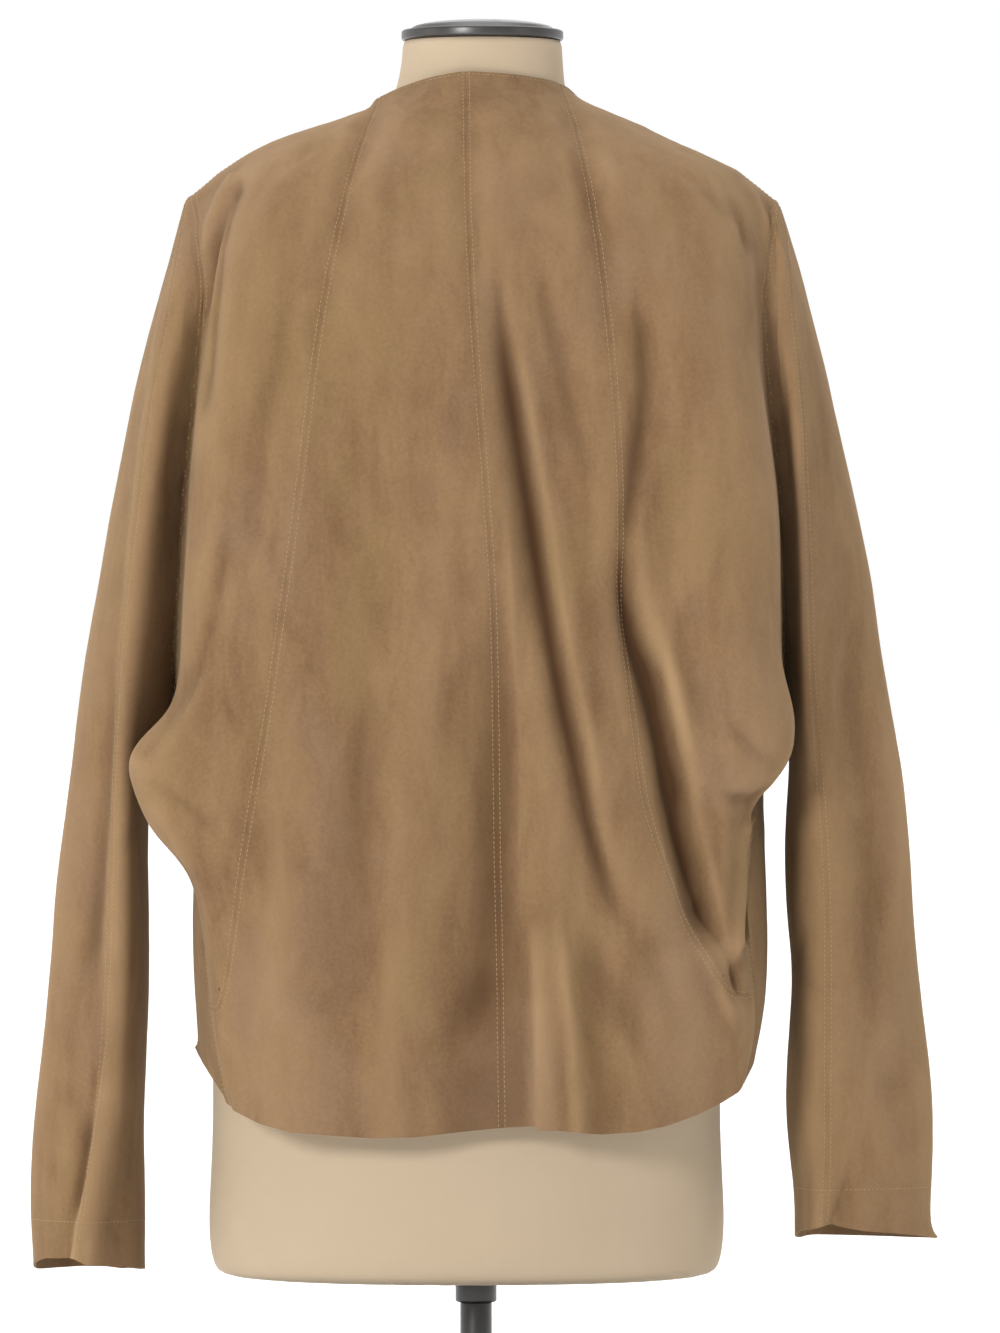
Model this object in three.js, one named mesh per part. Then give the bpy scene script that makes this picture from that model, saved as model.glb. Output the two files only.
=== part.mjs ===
// Collarless suede jacket with batwing underarms, resting on a limbless dress form.
// Millimetres, +Z up. The origin is the centre of the stand's underside.
// The wearer faces +Y, so the jacket's back faces -Y and the wearer's right is +X.
import * as THREE from 'three';

// Driving sizes of the jacket
const WALL = 1.8;
const SEAM_GAP = 0.46;
const CENTRE_TOP_Z = 868;
const CENTRE_HEM_Z = 205;
const FRONT_NECK_Z = 772;
const FRONT_OPEN_HALF = 26;
const BODY_MIDDLE_X = -4;
const NECK_DIP_SHARE = 0.6;

// Driving sizes of the dress form and its stand
const FORM_SIDES = 36;
const FORM_ROUNDNESS = 2.1;
const CAP_RADIUS = 51;
const CAP_HEIGHT = 13;
const COLLAR_RADIUS = 13;
const COLLAR_HEIGHT = 14;
const POST_RADIUS = 10;
const BASE_RADIUS = 155;
const BASE_THICK = 12;
const FIT_GAP = 0.3;

// How far down, as a share of the length, the slope of the shoulder and the neckline fade out
const BACK_EVEN_SHARE = 0.22;
const BACK_RISE_SHARE = 0.5;
const FRONT_EVEN_SHARE = 0.3;
const FRONT_RISE_SHARE = 0.6;

// Panels whose surfaces turn less than this from each other share their edge's direction
const SHARED_TURN = 0.25;
const SHARPEST_MITRE = 0.12;

// Smooth monotone curve through the rows of a table. The first column is the height.
function tableCurve(rows) {
  const sorted = [...rows].sort((a, b) => a[0] - b[0]);
  const heights = sorted.map((row) => row[0]);
  const columns = sorted[0].length - 1;
  const slopes = [];
  for (let c = 1; c <= columns; c++) {
    const secant = [];
    for (let i = 0; i < sorted.length - 1; i++) {
      secant.push((sorted[i + 1][c] - sorted[i][c]) / (heights[i + 1] - heights[i]));
    }
    const slope = [secant[0]];
    for (let i = 1; i < secant.length; i++) {
      const product = secant[i - 1] * secant[i];
      slope.push(product <= 0 ? 0 : (2 * product) / (secant[i - 1] + secant[i]));
    }
    slope.push(secant[secant.length - 1]);
    slopes.push(slope);
  }
  return (height) => {
    const z = Math.min(Math.max(height, heights[0]), heights[heights.length - 1]);
    let i = 0;
    while (i < heights.length - 2 && z > heights[i + 1]) i++;
    const span = heights[i + 1] - heights[i];
    const t = (z - heights[i]) / span;
    const values = [];
    for (let c = 1; c <= columns; c++) {
      const start = sorted[i][c];
      const end = sorted[i + 1][c];
      const m0 = slopes[c - 1][i] * span;
      const m1 = slopes[c - 1][i + 1] * span;
      const cubic = (2 * t ** 3 - 3 * t ** 2 + 1) * start + (t ** 3 - 2 * t ** 2 + t) * m0
        + (3 * t ** 2 - 2 * t ** 3) * end + (t ** 3 - t ** 2) * m1;
      values.push(cubic);
    }
    return values;
  };
}

const lerp = (a, b, t) => a + (b - a) * t;

function smoothStep(low, high, value) {
  const t = Math.min(Math.max((value - low) / (high - low), 0), 1);
  return t * t * (3 - 2 * t);
}

// Dress form, as horizontal sections
// height, half width, back depth, front depth, middle in x
const FORM_SECTIONS = [
  [890, 50, 50, 49, 4],
  [876, 51, 50, 49, 4],
  [860, 53, 52, 49, 3],
  [848, 58, 55, 50, 2],
  [840, 69, 59, 50, 2],
  [834, 83, 63, 52, 2],
  [828, 101, 68, 57, 1],
  [820, 120, 74, 64, 1],
  [810, 138, 80, 70, 0],
  [798, 152, 86, 76, 0],
  [782, 160, 90, 84, 0],
  [760, 161, 93, 91, 0],
  [730, 156, 97, 99, 0],
  [690, 149, 98, 107, -1],
  [650, 143, 94, 110, -2],
  [600, 132, 85, 98, -3],
  [550, 120, 77, 86, -4],
  [515, 117, 76, 83, -4],
  [475, 123, 82, 87, -5],
  [425, 139, 92, 95, -6],
  [370, 154, 99, 100, -6],
  [315, 161, 102, 102, -6],
  [260, 161, 101, 101, -6],
  [205, 160, 100, 100, -6],
  [160, 163, 101, 102, -6],
  [135, 163, 101, 102, -6],
  [118, 160, 99, 100, -6],
  [110, 152, 92, 93, -6],
];

// Outline of the neck and shoulders, seen from the back: height, left edge x, right edge x
const SHOULDER_LINE = [
  [870, -54, 57],
  [860, -60, 64],
  [852, -67, 76],
  [843, -86, 97],
  [835, -114, 112],
  [828, -134, 127],
  [819, -148, 146],
];

// Centre back seam: height, x
const CENTRE_SEAM = [
  [868, -6],
  [800, -5],
  [743, -4],
  [697, 1],
  [645, 4],
  [600, 8],
  [545, 13],
  [450, 15],
  [205, 17],
];

// Back of the body at its middle, and its loose edge beside the arm: height, middle y, edge y,
// roundness of the section
const BACK_DEPTHS = [
  [880, -48, 0, 2],
  [868, -57, 0, 2],
  [852, -69, 0, 2],
  [834, -84, 0, 2.1],
  [826, -90, 0, 2.1],
  [812, -98, -38, 2.1],
  [795, -106, -54, 2.1],
  [774, -112, -66, 2.2],
  [742, -118, -77, 2.3],
  [700, -121, -84, 2.5],
  [600, -122, -90, 2.7],
  [500, -123, -92, 2.8],
  [400, -126, -84, 2.8],
  [300, -129, -78, 2.8],
  [200, -131, -76, 2.8],
];

// Front of the body: height, middle y, corner y, roundness
const FRONT_DEPTHS = [
  [880, 44, 0, 2],
  [852, 60, 0, 2],
  [834, 74, 0, 2],
  [826, 80, 0, 2],
  [812, 88, 38, 2],
  [795, 97, 54, 2.1],
  [774, 106, 66, 2.2],
  [742, 117, 78, 2.4],
  [700, 124, 88, 2.6],
  [600, 126, 94, 2.8],
  [500, 122, 92, 2.8],
  [400, 118, 86, 2.8],
  [300, 117, 82, 2.8],
  [200, 116, 80, 2.8],
];

// Mirror plane between the back and the front of the armhole and sleeve: height, y
const SIDE_PLANE = [
  [800, 0],
  [768, 0],
  [700, 4],
  [600, 8],
  [462, 6],
  [300, 8],
  [110, 4],
];

// Lines of each side. Every row is height, x, y. The outline of the back from behind is
// the loose edge; the arm seam is deep in the pocket between body and sleeve.
const SIDES = {
  left: {
    sign: -1,
    // side back seam: height, x
    seams: [
      [868, -61],
      [852, -62],
      [841, -66],
      [826, -72],
      [808, -78],
      [766, -87],
      [697, -99],
      [617, -108],
      [564, -116],
      [520, -123],
      [451, -133],
      [397, -144],
      [328, -155],
      [271, -159],
      [205, -147],
    ],
    // outline of the back beside the arm: height, x
    looseEdge: [
      [826, -138],
      [812, -145],
      [793, -153],
      [774, -157.5],
      [746, -162.5],
      [706, -166],
      [661, -171],
      [613, -173],
      [590, -175],
      [558, -179],
      [500, -182],
      [482, -181.5],
      [473, -185],
      [463, -196],
      [455, -206],
      [446, -213],
      [438, -218],
      [431, -217],
      [416, -212],
      [398, -206],
      [390, -201],
      [382, -193],
      [375, -184],
      [368, -177],
      [350, -174],
      [316, -168],
      [275, -165],
      [237, -158],
      [218, -152],
    ],
    // half way into the pocket behind that edge: height, x, y
    groove: [
      [817, -152, 0],
      [800, -156, -34],
      [780, -160, -46],
      [760, -163, -53],
      [733, -165, -58],
      [700, -170, -62],
      [660, -175, -60],
      [600, -179, -58],
      [540, -183, -54],
      [490, -185, -50],
      [466, -194, -48],
      [438, -211, -46],
      [416, -206, -45],
      [398, -197, -45],
      [384, -184, -48],
      [369, -175, -60],
      [340, -171, -68],
      [277, -165, -70],
      [220, -152, -70],
    ],
    // armhole seam, then side seam below the underarm: height, x, y
    armSeam: [
      [797, -182, 0],
      [787, -179.5, -14],
      [777, -177.5, -25],
      [766, -176, -34],
      [748, -174, -44],
      [731, -167, -53],
      [700, -171, -48],
      [660, -176, -36],
      [600, -182, -24],
      [540, -186, -16],
      [490, -189, -6],
      [462, -189, 6],
      [440, -178, -6],
      [415, -171, -16],
      [390, -168, -32],
      [365, -168, -50],
      [340, -168, -62],
      [300, -165, -64],
      [260, -161, -64],
      [222, -154, -62],
    ],
    // between the front's corner and the arm seam: height, x, y
    frontSide: [
      [817, -152, 0],
      [800, -157, 34],
      [780, -161, 46],
      [760, -165, 53],
      [733, -165, 63],
      [700, -170, 70],
      [660, -175, 71],
      [600, -178, 70],
      [540, -181, 66],
      [490, -182, 50],
      [462, -183, 34],
      [415, -180, 14],
      [365, -180, 0],
      [318, -181, -10],
      [277, -179, -10],
      [250, -176, -8],
    ],
    // the front's rounded corner: height, x, y
    frontEdge: [
      [826, -138, 0],
      [812, -144, 38],
      [793, -150, 56],
      [774, -153, 67],
      [733, -156, 80],
      [665, -158, 90],
      [533, -160, 92],
      [440, -161, 88],
      [318, -156, 82],
      [222, -148, 80],
    ],
    hem: {
      centre: CENTRE_HEM_Z, sideBack: 214, edge: 218, seam: 224,
      frontSide: 256, frontEdge: 238, front: 228,
    },
    top: {
      centre: CENTRE_TOP_Z, sideBack: 853, neck: 852, edge: 826, groove: 817, seam: 797,
      neckX: -67, sideBackX: -61,
    },
    // height, outer x, crease x, crease y, inner edge x, inner edge y, inner seam x
    sleeve: [
      [787, -185.6, -184, -8, -181.5, -13, -179.5],
      [777, -187.6, -184.5, -17, -180.5, -25, -177.5],
      [766, -189.5, -185, -26, -179.5, -35, -176],
      [752, -193, -187, -36, -179, -43, -176],
      [731, -200, -192, -48, -176.5, -54, -167],
      [700, -208.5, -196, -54, -181, -56, -171],
      [660, -218.5, -201.5, -56, -188, -50, -176],
      [600, -230.5, -208, -56, -194.5, -46, -182],
      [540, -241, -217, -54, -198.5, -42, -186],
      [490, -250, -222.5, -50, -204.5, -38, -189],
      [462, -254, -224.5, -46, -208.5, -34, -192],
      [430, -258, -226, -44, -212, -28, -203],
      [390, -263, -226.5, -43, -213, -26, -206.5],
      [340, -269.7, -226.5, -42, -213, -24, -205.5],
      [298, -273.4, -228.5, -42, -213, -24, -205.5],
      [250, -278, -231.5, -42, -215, -24, -208],
      [200, -283, -238.5, -42, -218, -24, -209],
      [160, -284, -245, -41, -219, -24, -207.5],
      [118, -281.3, -250, -38, -222, -24, -206.7],
    ],
  },
  right: {
    sign: 1,
    seams: [
      [868, 50],
      [863, 51],
      [852, 55],
      [831, 62],
      [803, 68],
      [755, 76],
      [697, 84],
      [639, 88],
      [578, 91],
      [533, 93],
      [486, 95],
      [449, 100],
      [410, 106],
      [381, 117],
      [352, 128],
      [329, 134],
      [308, 146],
      [271, 165],
      [240, 165],
      [205, 160],
    ],
    looseEdge: [
      [819, 146],
      [803, 156],
      [792, 163],
      [782, 168.5],
      [760, 171],
      [727, 171.5],
      [700, 172],
      [680, 174],
      [658, 178],
      [636, 181],
      [618, 183],
      [579, 186],
      [522, 186],
      [491, 188.5],
      [485, 192.5],
      [476, 196.5],
      [464, 198.5],
      [449, 199],
      [440, 198],
      [433, 194],
      [425, 188.5],
      [417, 178],
      [410, 172],
      [403, 168.5],
      [378, 165.5],
      [351, 163],
      [326, 165],
      [301, 172.5],
      [289, 175.5],
      [263, 175],
      [245, 170],
      [230, 165],
    ],
    groove: [
      [809, 170, 0],
      [795, 171.5, -34],
      [782, 172.5, -48],
      [760, 173.5, -60],
      [730, 174.5, -66],
      [700, 175, -66],
      [680, 177, -64],
      [650, 182, -62],
      [620, 186, -60],
      [580, 189, -57],
      [540, 189.5, -55],
      [500, 190.5, -52],
      [485, 194, -49],
      [464, 197.5, -46],
      [449, 197, -45],
      [433, 190, -44],
      [417, 177, -48],
      [405, 170, -56],
      [380, 166.5, -66],
      [340, 165, -70],
      [301, 172.5, -70],
      [263, 175, -70],
      [230, 165.5, -68],
    ],
    armSeam: [
      [795, 189, 0],
      [784, 187, -16],
      [770, 186, -34],
      [752, 184.5, -47],
      [730, 179.5, -56],
      [714, 176.5, -59],
      [700, 175.5, -57],
      [680, 178, -50],
      [650, 183, -40],
      [620, 187.5, -31],
      [580, 191, -23],
      [540, 192.5, -16],
      [500, 193.5, -6],
      [470, 193.5, 6],
      [450, 184, -6],
      [425, 175, -16],
      [405, 169, -32],
      [385, 166.5, -50],
      [350, 165, -62],
      [320, 168, -64],
      [300, 172, -64],
      [285, 175, -63],
      [262, 174.5, -62],
      [245, 170, -62],
      [232, 166, -61],
    ],
    frontSide: [
      [809, 170, 0],
      [795, 172, 34],
      [782, 173, 46],
      [760, 174, 56],
      [730, 174.5, 71],
      [700, 175, 74],
      [680, 177, 73],
      [650, 181, 72],
      [580, 184, 69],
      [540, 185, 62],
      [500, 186, 50],
      [470, 186, 36],
      [425, 184, 18],
      [385, 185, 4],
      [350, 186, -4],
      [318, 186, -8],
      [285, 183, -8],
      [262, 179, -8],
      [245, 175, -8],
    ],
    frontEdge: [
      [819, 146, 0],
      [803, 155, 42],
      [792, 160, 56],
      [774, 163, 67],
      [733, 164, 80],
      [665, 164, 90],
      [533, 165, 92],
      [440, 166, 88],
      [318, 166, 82],
      [222, 156, 80],
    ],
    hem: {
      centre: CENTRE_HEM_Z, sideBack: 220, edge: 230, seam: 234,
      frontSide: 252, frontEdge: 240, front: 228,
    },
    top: {
      centre: CENTRE_TOP_Z, sideBack: 863, neck: 856, edge: 819, groove: 809, seam: 795,
      neckX: 69, sideBackX: 51,
    },
    sleeve: [
      [784, 194, 191.5, -9, 189, -15, 187],
      [770, 198, 194, -21, 189.5, -34, 186],
      [755, 203, 192.5, -40, 188, -45, 185],
      [733, 209, 193, -52, 186, -56, 180],
      [712, 214.5, 196, -56, 187, -58, 176.5],
      [680, 223, 199, -57, 190, -55, 178],
      [650, 230, 201.5, -56, 195, -50, 183],
      [600, 242, 205, -54, 200, -46, 189.5],
      [560, 252, 206.5, -52, 202, -42, 192],
      [510, 259.5, 207, -50, 202, -38, 193.5],
      [470, 266, 209, -47, 202, -32, 196],
      [430, 272, 213, -45, 202, -26, 197],
      [403, 275, 216, -44, 200, -22, 193.5],
      [350, 279.5, 219, -42, 200, -20, 194.3],
      [321, 283, 219, -41, 202, -20, 197.2],
      [300, 285, 218.5, -41, 204, -20, 199.5],
      [275, 288, 218, -40, 202, -20, 197.8],
      [224, 294.2, 217.5, -40, 200, -18, 194.3],
      [197, 294.8, 217.5, -40, 202, -18, 195.6],
      [162, 293, 218, -39, 206, -17, 200.5],
      [138, 291.2, 218, -37, 206, -16, 200],
    ],
  },
};

// Share of the way from the top edge to the hem, one for each row of the body grid
const BODY_ROWS = [
  0, 0.016, 0.038, 0.07, 0.11, 0.16, 0.21, 0.265, 0.325, 0.385, 0.445, 0.495, 0.535, 0.57,
  0.592, 0.612, 0.632, 0.652, 0.672, 0.692, 0.712, 0.732, 0.76, 0.8, 0.845, 0.89, 0.945, 1,
];
const UNDERARM_ROW = 13;
const SIDE_BACK_END_ROW = 25;
const CENTRE_STEPS = 6;
const SIDE_STEPS = 6;
const WRAP_STEPS = 4;
const FRONT_NECK_STEPS = 3;
const SLEEVE_UNDER_STEPS = 4;
const SLEEVE_OUTER_STEPS = 3;
const SLEEVE_LOWER_ROWS = 12;

// Soft valleys (positive depth, away from the viewer behind) and ridges of the back:
// heights and x of top, middle and foot, width to the left, width to the right, depth,
// length of the fade at the top and at the foot
const BACK_FOLDS = [
  { z: [760, 600, 420], x: [8, 32, 70], left: 12, right: 24, depth: 8, fade: [90, 60] },
  { z: [560, 400, 190], x: [14, 12, 10], left: 20, right: 22, depth: 10, fade: [110, 0] },
  { z: [560, 400, 190], x: [38, 44, 52], left: 16, right: 18, depth: -7, fade: [120, 0] },
  { z: [770, 640, 505], x: [36, 50, 68], left: 14, right: 18, depth: 5, fade: [80, 90] },
  { z: [760, 560, 330], x: [92, 104, 150], left: 9, right: 22, depth: 10, fade: [120, 60] },
  { z: [360, 290, 205], x: [62, 88, 118], left: 18, right: 20, depth: 6, fade: [60, 0] },
  { z: [700, 480, 230], x: [-66, -78, -96], left: 30, right: 30, depth: 4, fade: [160, 100] },
  { z: [640, 450, 205], x: [-24, -30, -36], left: 26, right: 26, depth: -4, fade: [140, 0] },
  { z: [380, 290, 190], x: [-2, -12, -22], left: 22, right: 18, depth: 6, fade: [60, 0] },
  { z: [500, 380, 205], x: [-120, -118, -122], left: 24, right: 24, depth: -5, fade: [90, 0] },
];

// The same kind of folds on the hidden front
const FRONT_FOLDS = [
  { z: [740, 500, 200], x: [-70, -78, -84], left: 24, right: 20, depth: 8, fade: [140, 0] },
  { z: [720, 480, 200], x: [-118, -120, -124], left: 18, right: 22, depth: -5, fade: [140, 0] },
  { z: [740, 520, 200], x: [66, 78, 92], left: 18, right: 26, depth: 9, fade: [120, 0] },
  { z: [700, 460, 200], x: [120, 122, 130], left: 20, right: 18, depth: -6, fade: [140, 0] },
];

function foldDepth(folds, x, z) {
  let depth = 0;
  for (const fold of folds) {
    const [top, middle, foot] = fold.z;
    if (z > top || z < foot) continue;
    const upper = z > middle;
    const t = upper ? (z - middle) / (top - middle) : (middle - z) / (middle - foot);
    const lineX = upper ? lerp(fold.x[1], fold.x[0], t) : lerp(fold.x[1], fold.x[2], t);
    const offset = x - lineX;
    const width = offset < 0 ? fold.left : fold.right;
    const fadeTop = fold.fade[0] ? smoothStep(0, fold.fade[0], top - z) : 1;
    const fadeFoot = fold.fade[1] ? smoothStep(0, fold.fade[1], z - foot) : 1;
    depth += fold.depth * fadeTop * fadeFoot * Math.exp(-((offset / width) ** 2));
  }
  return depth;
}

// Catmull-Rom point between b and c at t, with neighbours a and d
function splinePoint(a, b, c, d, t) {
  return b.map((value, i) => 0.5 * (2 * value + (c[i] - a[i]) * t
    + (2 * a[i] - 5 * value + 4 * c[i] - d[i]) * t * t
    + (3 * value - a[i] - 3 * c[i] + d[i]) * t * t * t));
}

// Points along a run of control points, each stretch cut into the given number of steps
function splineRun(controls, steps, before, after) {
  const all = [before, ...controls, after];
  const points = [];
  for (let i = 0; i < controls.length - 1; i++) {
    for (let k = 0; k < steps[i]; k++) {
      points.push(splinePoint(all[i], all[i + 1], all[i + 2], all[i + 3], k / steps[i]));
    }
  }
  points.push(controls[controls.length - 1]);
  return points;
}

// The point as far beyond a as b is before it
const reflected = (a, b) => a.map((value, i) => 2 * value - b[i]);

const shoulderCurve = tableCurve(SHOULDER_LINE);
const backDepthCurve = tableCurve(BACK_DEPTHS);
const frontDepthCurve = tableCurve(FRONT_DEPTHS);
const sidePlaneCurve = tableCurve(SIDE_PLANE);
const centreSeamCurve = tableCurve(CENTRE_SEAM);

// Curves of one side, made once from its tables
function sideCurves(side) {
  return {
    seams: tableCurve(side.seams),
    looseEdge: tableCurve(side.looseEdge),
    groove: tableCurve(side.groove),
    armSeam: tableCurve(side.armSeam),
    frontSide: tableCurve(side.frontSide),
    frontEdge: tableCurve(side.frontEdge),
    sleeve: tableCurve(side.sleeve),
  };
}

// Half width of the body's outline at a height
function outlineX(side, curves, z, front) {
  if (z >= side.top.edge) return shoulderCurve(z)[side.sign < 0 ? 0 : 1];
  return front ? curves.frontEdge(z)[0] : curves.looseEdge(z)[0];
}

// Height of the shoulder line over x, found by halving
const HALVINGS = 30;
function shoulderZ(side, x) {
  let low = side.top.edge;
  let high = SHOULDER_LINE[0][0];
  for (let i = 0; i < HALVINGS; i++) {
    const middle = (low + high) / 2;
    const edge = Math.abs(shoulderCurve(middle)[side.sign < 0 ? 0 : 1]);
    if (edge > Math.abs(x)) low = middle;
    else high = middle;
  }
  return low;
}

// Depth of the rounded back or front at a point of the body's height and width
function domeY(side, curves, x, z, front) {
  const [middleY, edgeY, roundness] = front ? frontDepthCurve(z) : backDepthCurve(z);
  const edgeX = outlineX(side, curves, z, front);
  const t = Math.min(Math.abs((x - BODY_MIDDLE_X) / (edgeX - BODY_MIDDLE_X)), 1);
  const round = (1 - t ** roundness) ** (1 / roundness);
  return edgeY + (middleY - edgeY) * round;
}

// Where a column of the side back starts: at the side back seam's top, then along the shoulder
function shoulderColumn(side, column) {
  if (column === 0) return { x: side.top.sideBackX, z: side.top.sideBack };
  const edgeX = shoulderCurve(side.top.edge)[side.sign < 0 ? 0 : 1];
  const x = lerp(side.top.neckX, edgeX, (column - 1) / (SIDE_STEPS - 1));
  return { x, z: shoulderZ(side, x) };
}

// One side's back: rows from the top edge to the hem, columns from the centre back seam
// to the loose edge and on through the pocket to the arm seam
function backGrid(side, curves) {
  const rows = [];
  const topSideBackX = curves.seams(side.top.sideBack)[0];
  const topEdgeX = outlineX(side, curves, side.top.edge, false);
  for (const share of BODY_ROWS) {
    const zCentre = lerp(side.top.centre, side.hem.centre, share);
    const zSideBack = lerp(side.top.sideBack, side.hem.sideBack, share);
    const zEdge = lerp(side.top.edge, side.hem.edge, share);
    const zGroove = lerp(side.top.groove, side.hem.edge, share);
    const zSeam = lerp(side.top.seam, side.hem.seam, share);
    const centreX = centreSeamCurve(zCentre)[0];
    const sideBackX = curves.seams(zSideBack)[0];
    const edgeX = outlineX(side, curves, zEdge, false);
    const row = [];
    for (let c = 0; c < CENTRE_STEPS; c++) {
      const t = c / CENTRE_STEPS;
      const x = lerp(centreX, sideBackX, t);
      const neckDip = (1 - (1 - t) ** 2 - t) * (side.top.sideBack - side.top.centre) * (1 - share);
      const z = lerp(zCentre, zSideBack, t) - neckDip * NECK_DIP_SHARE;
      row.push([x, domeY(side, curves, x, z, false) + foldDepth(BACK_FOLDS, x, z), z]);
    }
    for (let c = 0; c < SIDE_STEPS; c++) {
      const top = shoulderColumn(side, c);
      const share0 = (top.x - topSideBackX) / (topEdgeX - topSideBackX);
      const t = lerp(share0, c / SIDE_STEPS, smoothStep(0, BACK_EVEN_SHARE, share));
      const x = lerp(sideBackX, edgeX, t);
      const rise = top.z - lerp(side.top.sideBack, side.top.edge, share0);
      const z = lerp(zSideBack, zEdge, t) + rise * (1 - smoothStep(0, BACK_RISE_SHARE, share));
      const onRidge = share === 0 && c > 0;
      const y = onRidge ? 0 : domeY(side, curves, x, z, false) + foldDepth(BACK_FOLDS, x, z);
      row.push([x, y, z]);
    }
    const edge = [edgeX, share === 0 ? 0 : backDepthCurve(zEdge)[1], zEdge];
    const groove = [...curves.groove(zGroove), zGroove];
    const seam = [...curves.armSeam(zSeam), zSeam];
    const before = share === 0 ? reflected(edge, groove) : row[row.length - 1];
    row.push(...splineRun([edge, groove, seam], [2, 2], before, reflected(seam, groove)));
    rows.push(row);
  }
  return rows;
}

// Where a column of the front starts: along the neckline, then along the shoulder
function frontColumn(side, column) {
  if (column >= FRONT_NECK_STEPS) return shoulderColumn(side, column - FRONT_NECK_STEPS + 1);
  const angle = (column / FRONT_NECK_STEPS) * (Math.PI / 2);
  return {
    x: lerp(side.sign * FRONT_OPEN_HALF, side.top.neckX, Math.sin(angle)),
    z: lerp(FRONT_NECK_Z, side.top.neck, 1 - Math.cos(angle)),
  };
}

// One side's front: columns from the open front edge to the front corner and the arm seam
function frontGrid(side, curves, back) {
  const frontX = side.sign * FRONT_OPEN_HALF;
  const topEdgeX = outlineX(side, curves, side.top.edge, true);
  const steps = FRONT_NECK_STEPS + SIDE_STEPS - 1;
  return BODY_ROWS.map((share, k) => {
    const zFront = lerp(FRONT_NECK_Z, side.hem.front, share);
    const zEdge = lerp(side.top.edge, side.hem.frontEdge, share);
    const zSide = lerp(side.top.groove, side.hem.frontSide, share);
    const cornerX = outlineX(side, curves, zEdge, true);
    const row = [];
    for (let c = 0; c < steps; c++) {
      const top = frontColumn(side, c);
      const share0 = (top.x - frontX) / (topEdgeX - frontX);
      const t = lerp(share0, c / steps, smoothStep(0, FRONT_EVEN_SHARE, share));
      const x = lerp(frontX, cornerX, t);
      const rise = top.z - lerp(FRONT_NECK_Z, side.top.edge, share0);
      const z = lerp(zFront, zEdge, t) + rise * (1 - smoothStep(0, FRONT_RISE_SHARE, share));
      const onRidge = k === 0 && c >= FRONT_NECK_STEPS;
      const y = onRidge ? 0 : domeY(side, curves, x, z, true) - foldDepth(FRONT_FOLDS, x, z);
      row.push([x, y, z]);
    }
    const corner = [cornerX, k === 0 ? 0 : frontDepthCurve(zEdge)[1], zEdge];
    const wrap = [...curves.frontSide(zSide), zSide];
    const backSeam = back[k][back[k].length - 1];
    const seam = k < UNDERARM_ROW ? mirrored(backSeam) : backSeam;
    const before = k === 0 ? reflected(corner, wrap) : row[row.length - 1];
    row.push(...splineRun([corner, wrap, seam], [2, 2], before, reflected(seam, wrap)));
    return row;
  });
}

// The matching point on the front of the armhole or sleeve
function mirrored(point) {
  const plane = sidePlaneCurve(point[2])[0];
  return [point[0], 2 * plane - point[1], point[2]];
}

// One sleeve: rows from the armhole to the cuff, columns from the arm seam at the back
// round the outside to the arm seam at the front
function sleeveGrid(side, curves, back) {
  const armhole = back.slice(0, UNDERARM_ROW + 1).map((row) => row[row.length - 1]);
  const heights = armhole.slice(1).map((point) => point[2]);
  const underarmZ = heights[heights.length - 1];
  const cuffZ = side.sleeve[side.sleeve.length - 1][0];
  for (let k = 1; k <= SLEEVE_LOWER_ROWS; k++) {
    heights.push(lerp(underarmZ, cuffZ, k / SLEEVE_LOWER_ROWS));
  }
  const half = SLEEVE_UNDER_STEPS + SLEEVE_OUTER_STEPS;
  return heights.map((z, k) => {
    const [outerX, creaseX, creaseY, innerX, innerY, seamX] = curves.sleeve(z);
    const plane = sidePlaneCurve(z)[0];
    const seam = k < UNDERARM_ROW ? [...armhole[k + 1]] : [seamX, plane, z];
    if (k < UNDERARM_ROW) seam[0] += side.sign * SEAM_GAP * smoothStep(0, 3, k);
    const inner = [innerX, innerY, z];
    const crease = [creaseX, creaseY, z];
    const outer = [outerX, plane, z];
    const before = k >= UNDERARM_ROW - 1 ? mirrored(inner) : reflected(seam, inner);
    const steps = [SLEEVE_UNDER_STEPS / 2, SLEEVE_UNDER_STEPS / 2, SLEEVE_OUTER_STEPS];
    const points = k === 0
      ? straightRun(seam, armhole[0], half)
      : splineRun([seam, inner, crease, outer], steps, before, mirrored(crease));
    return [...points, ...points.slice(0, -1).reverse().map(mirrored)];
  });
}

function straightRun(from, to, steps) {
  const points = [];
  for (let i = 0; i <= steps; i++) points.push(from.map((value, axis) => lerp(value, to[axis], i / steps)));
  return points;
}

function vector(point) {
  return new THREE.Vector3(point[0], point[1], point[2]);
}

// Unit normals of a grid of points, pointing to the left of rows run through columns
function gridNormals(grid, turn) {
  return grid.map((row, r) => row.map((point, c) => {
    const left = vector(row[Math.max(c - 1, 0)]);
    const right = vector(row[Math.min(c + 1, row.length - 1)]);
    const above = vector(grid[Math.max(r - 1, 0)][c]);
    const below = vector(grid[Math.min(r + 1, grid.length - 1)][c]);
    const normal = right.sub(left).cross(below.sub(above)).multiplyScalar(turn);
    return normal.lengthSq() > 0 ? normal.normalize() : new THREE.Vector3(0, 0, 1);
  }));
}

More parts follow.
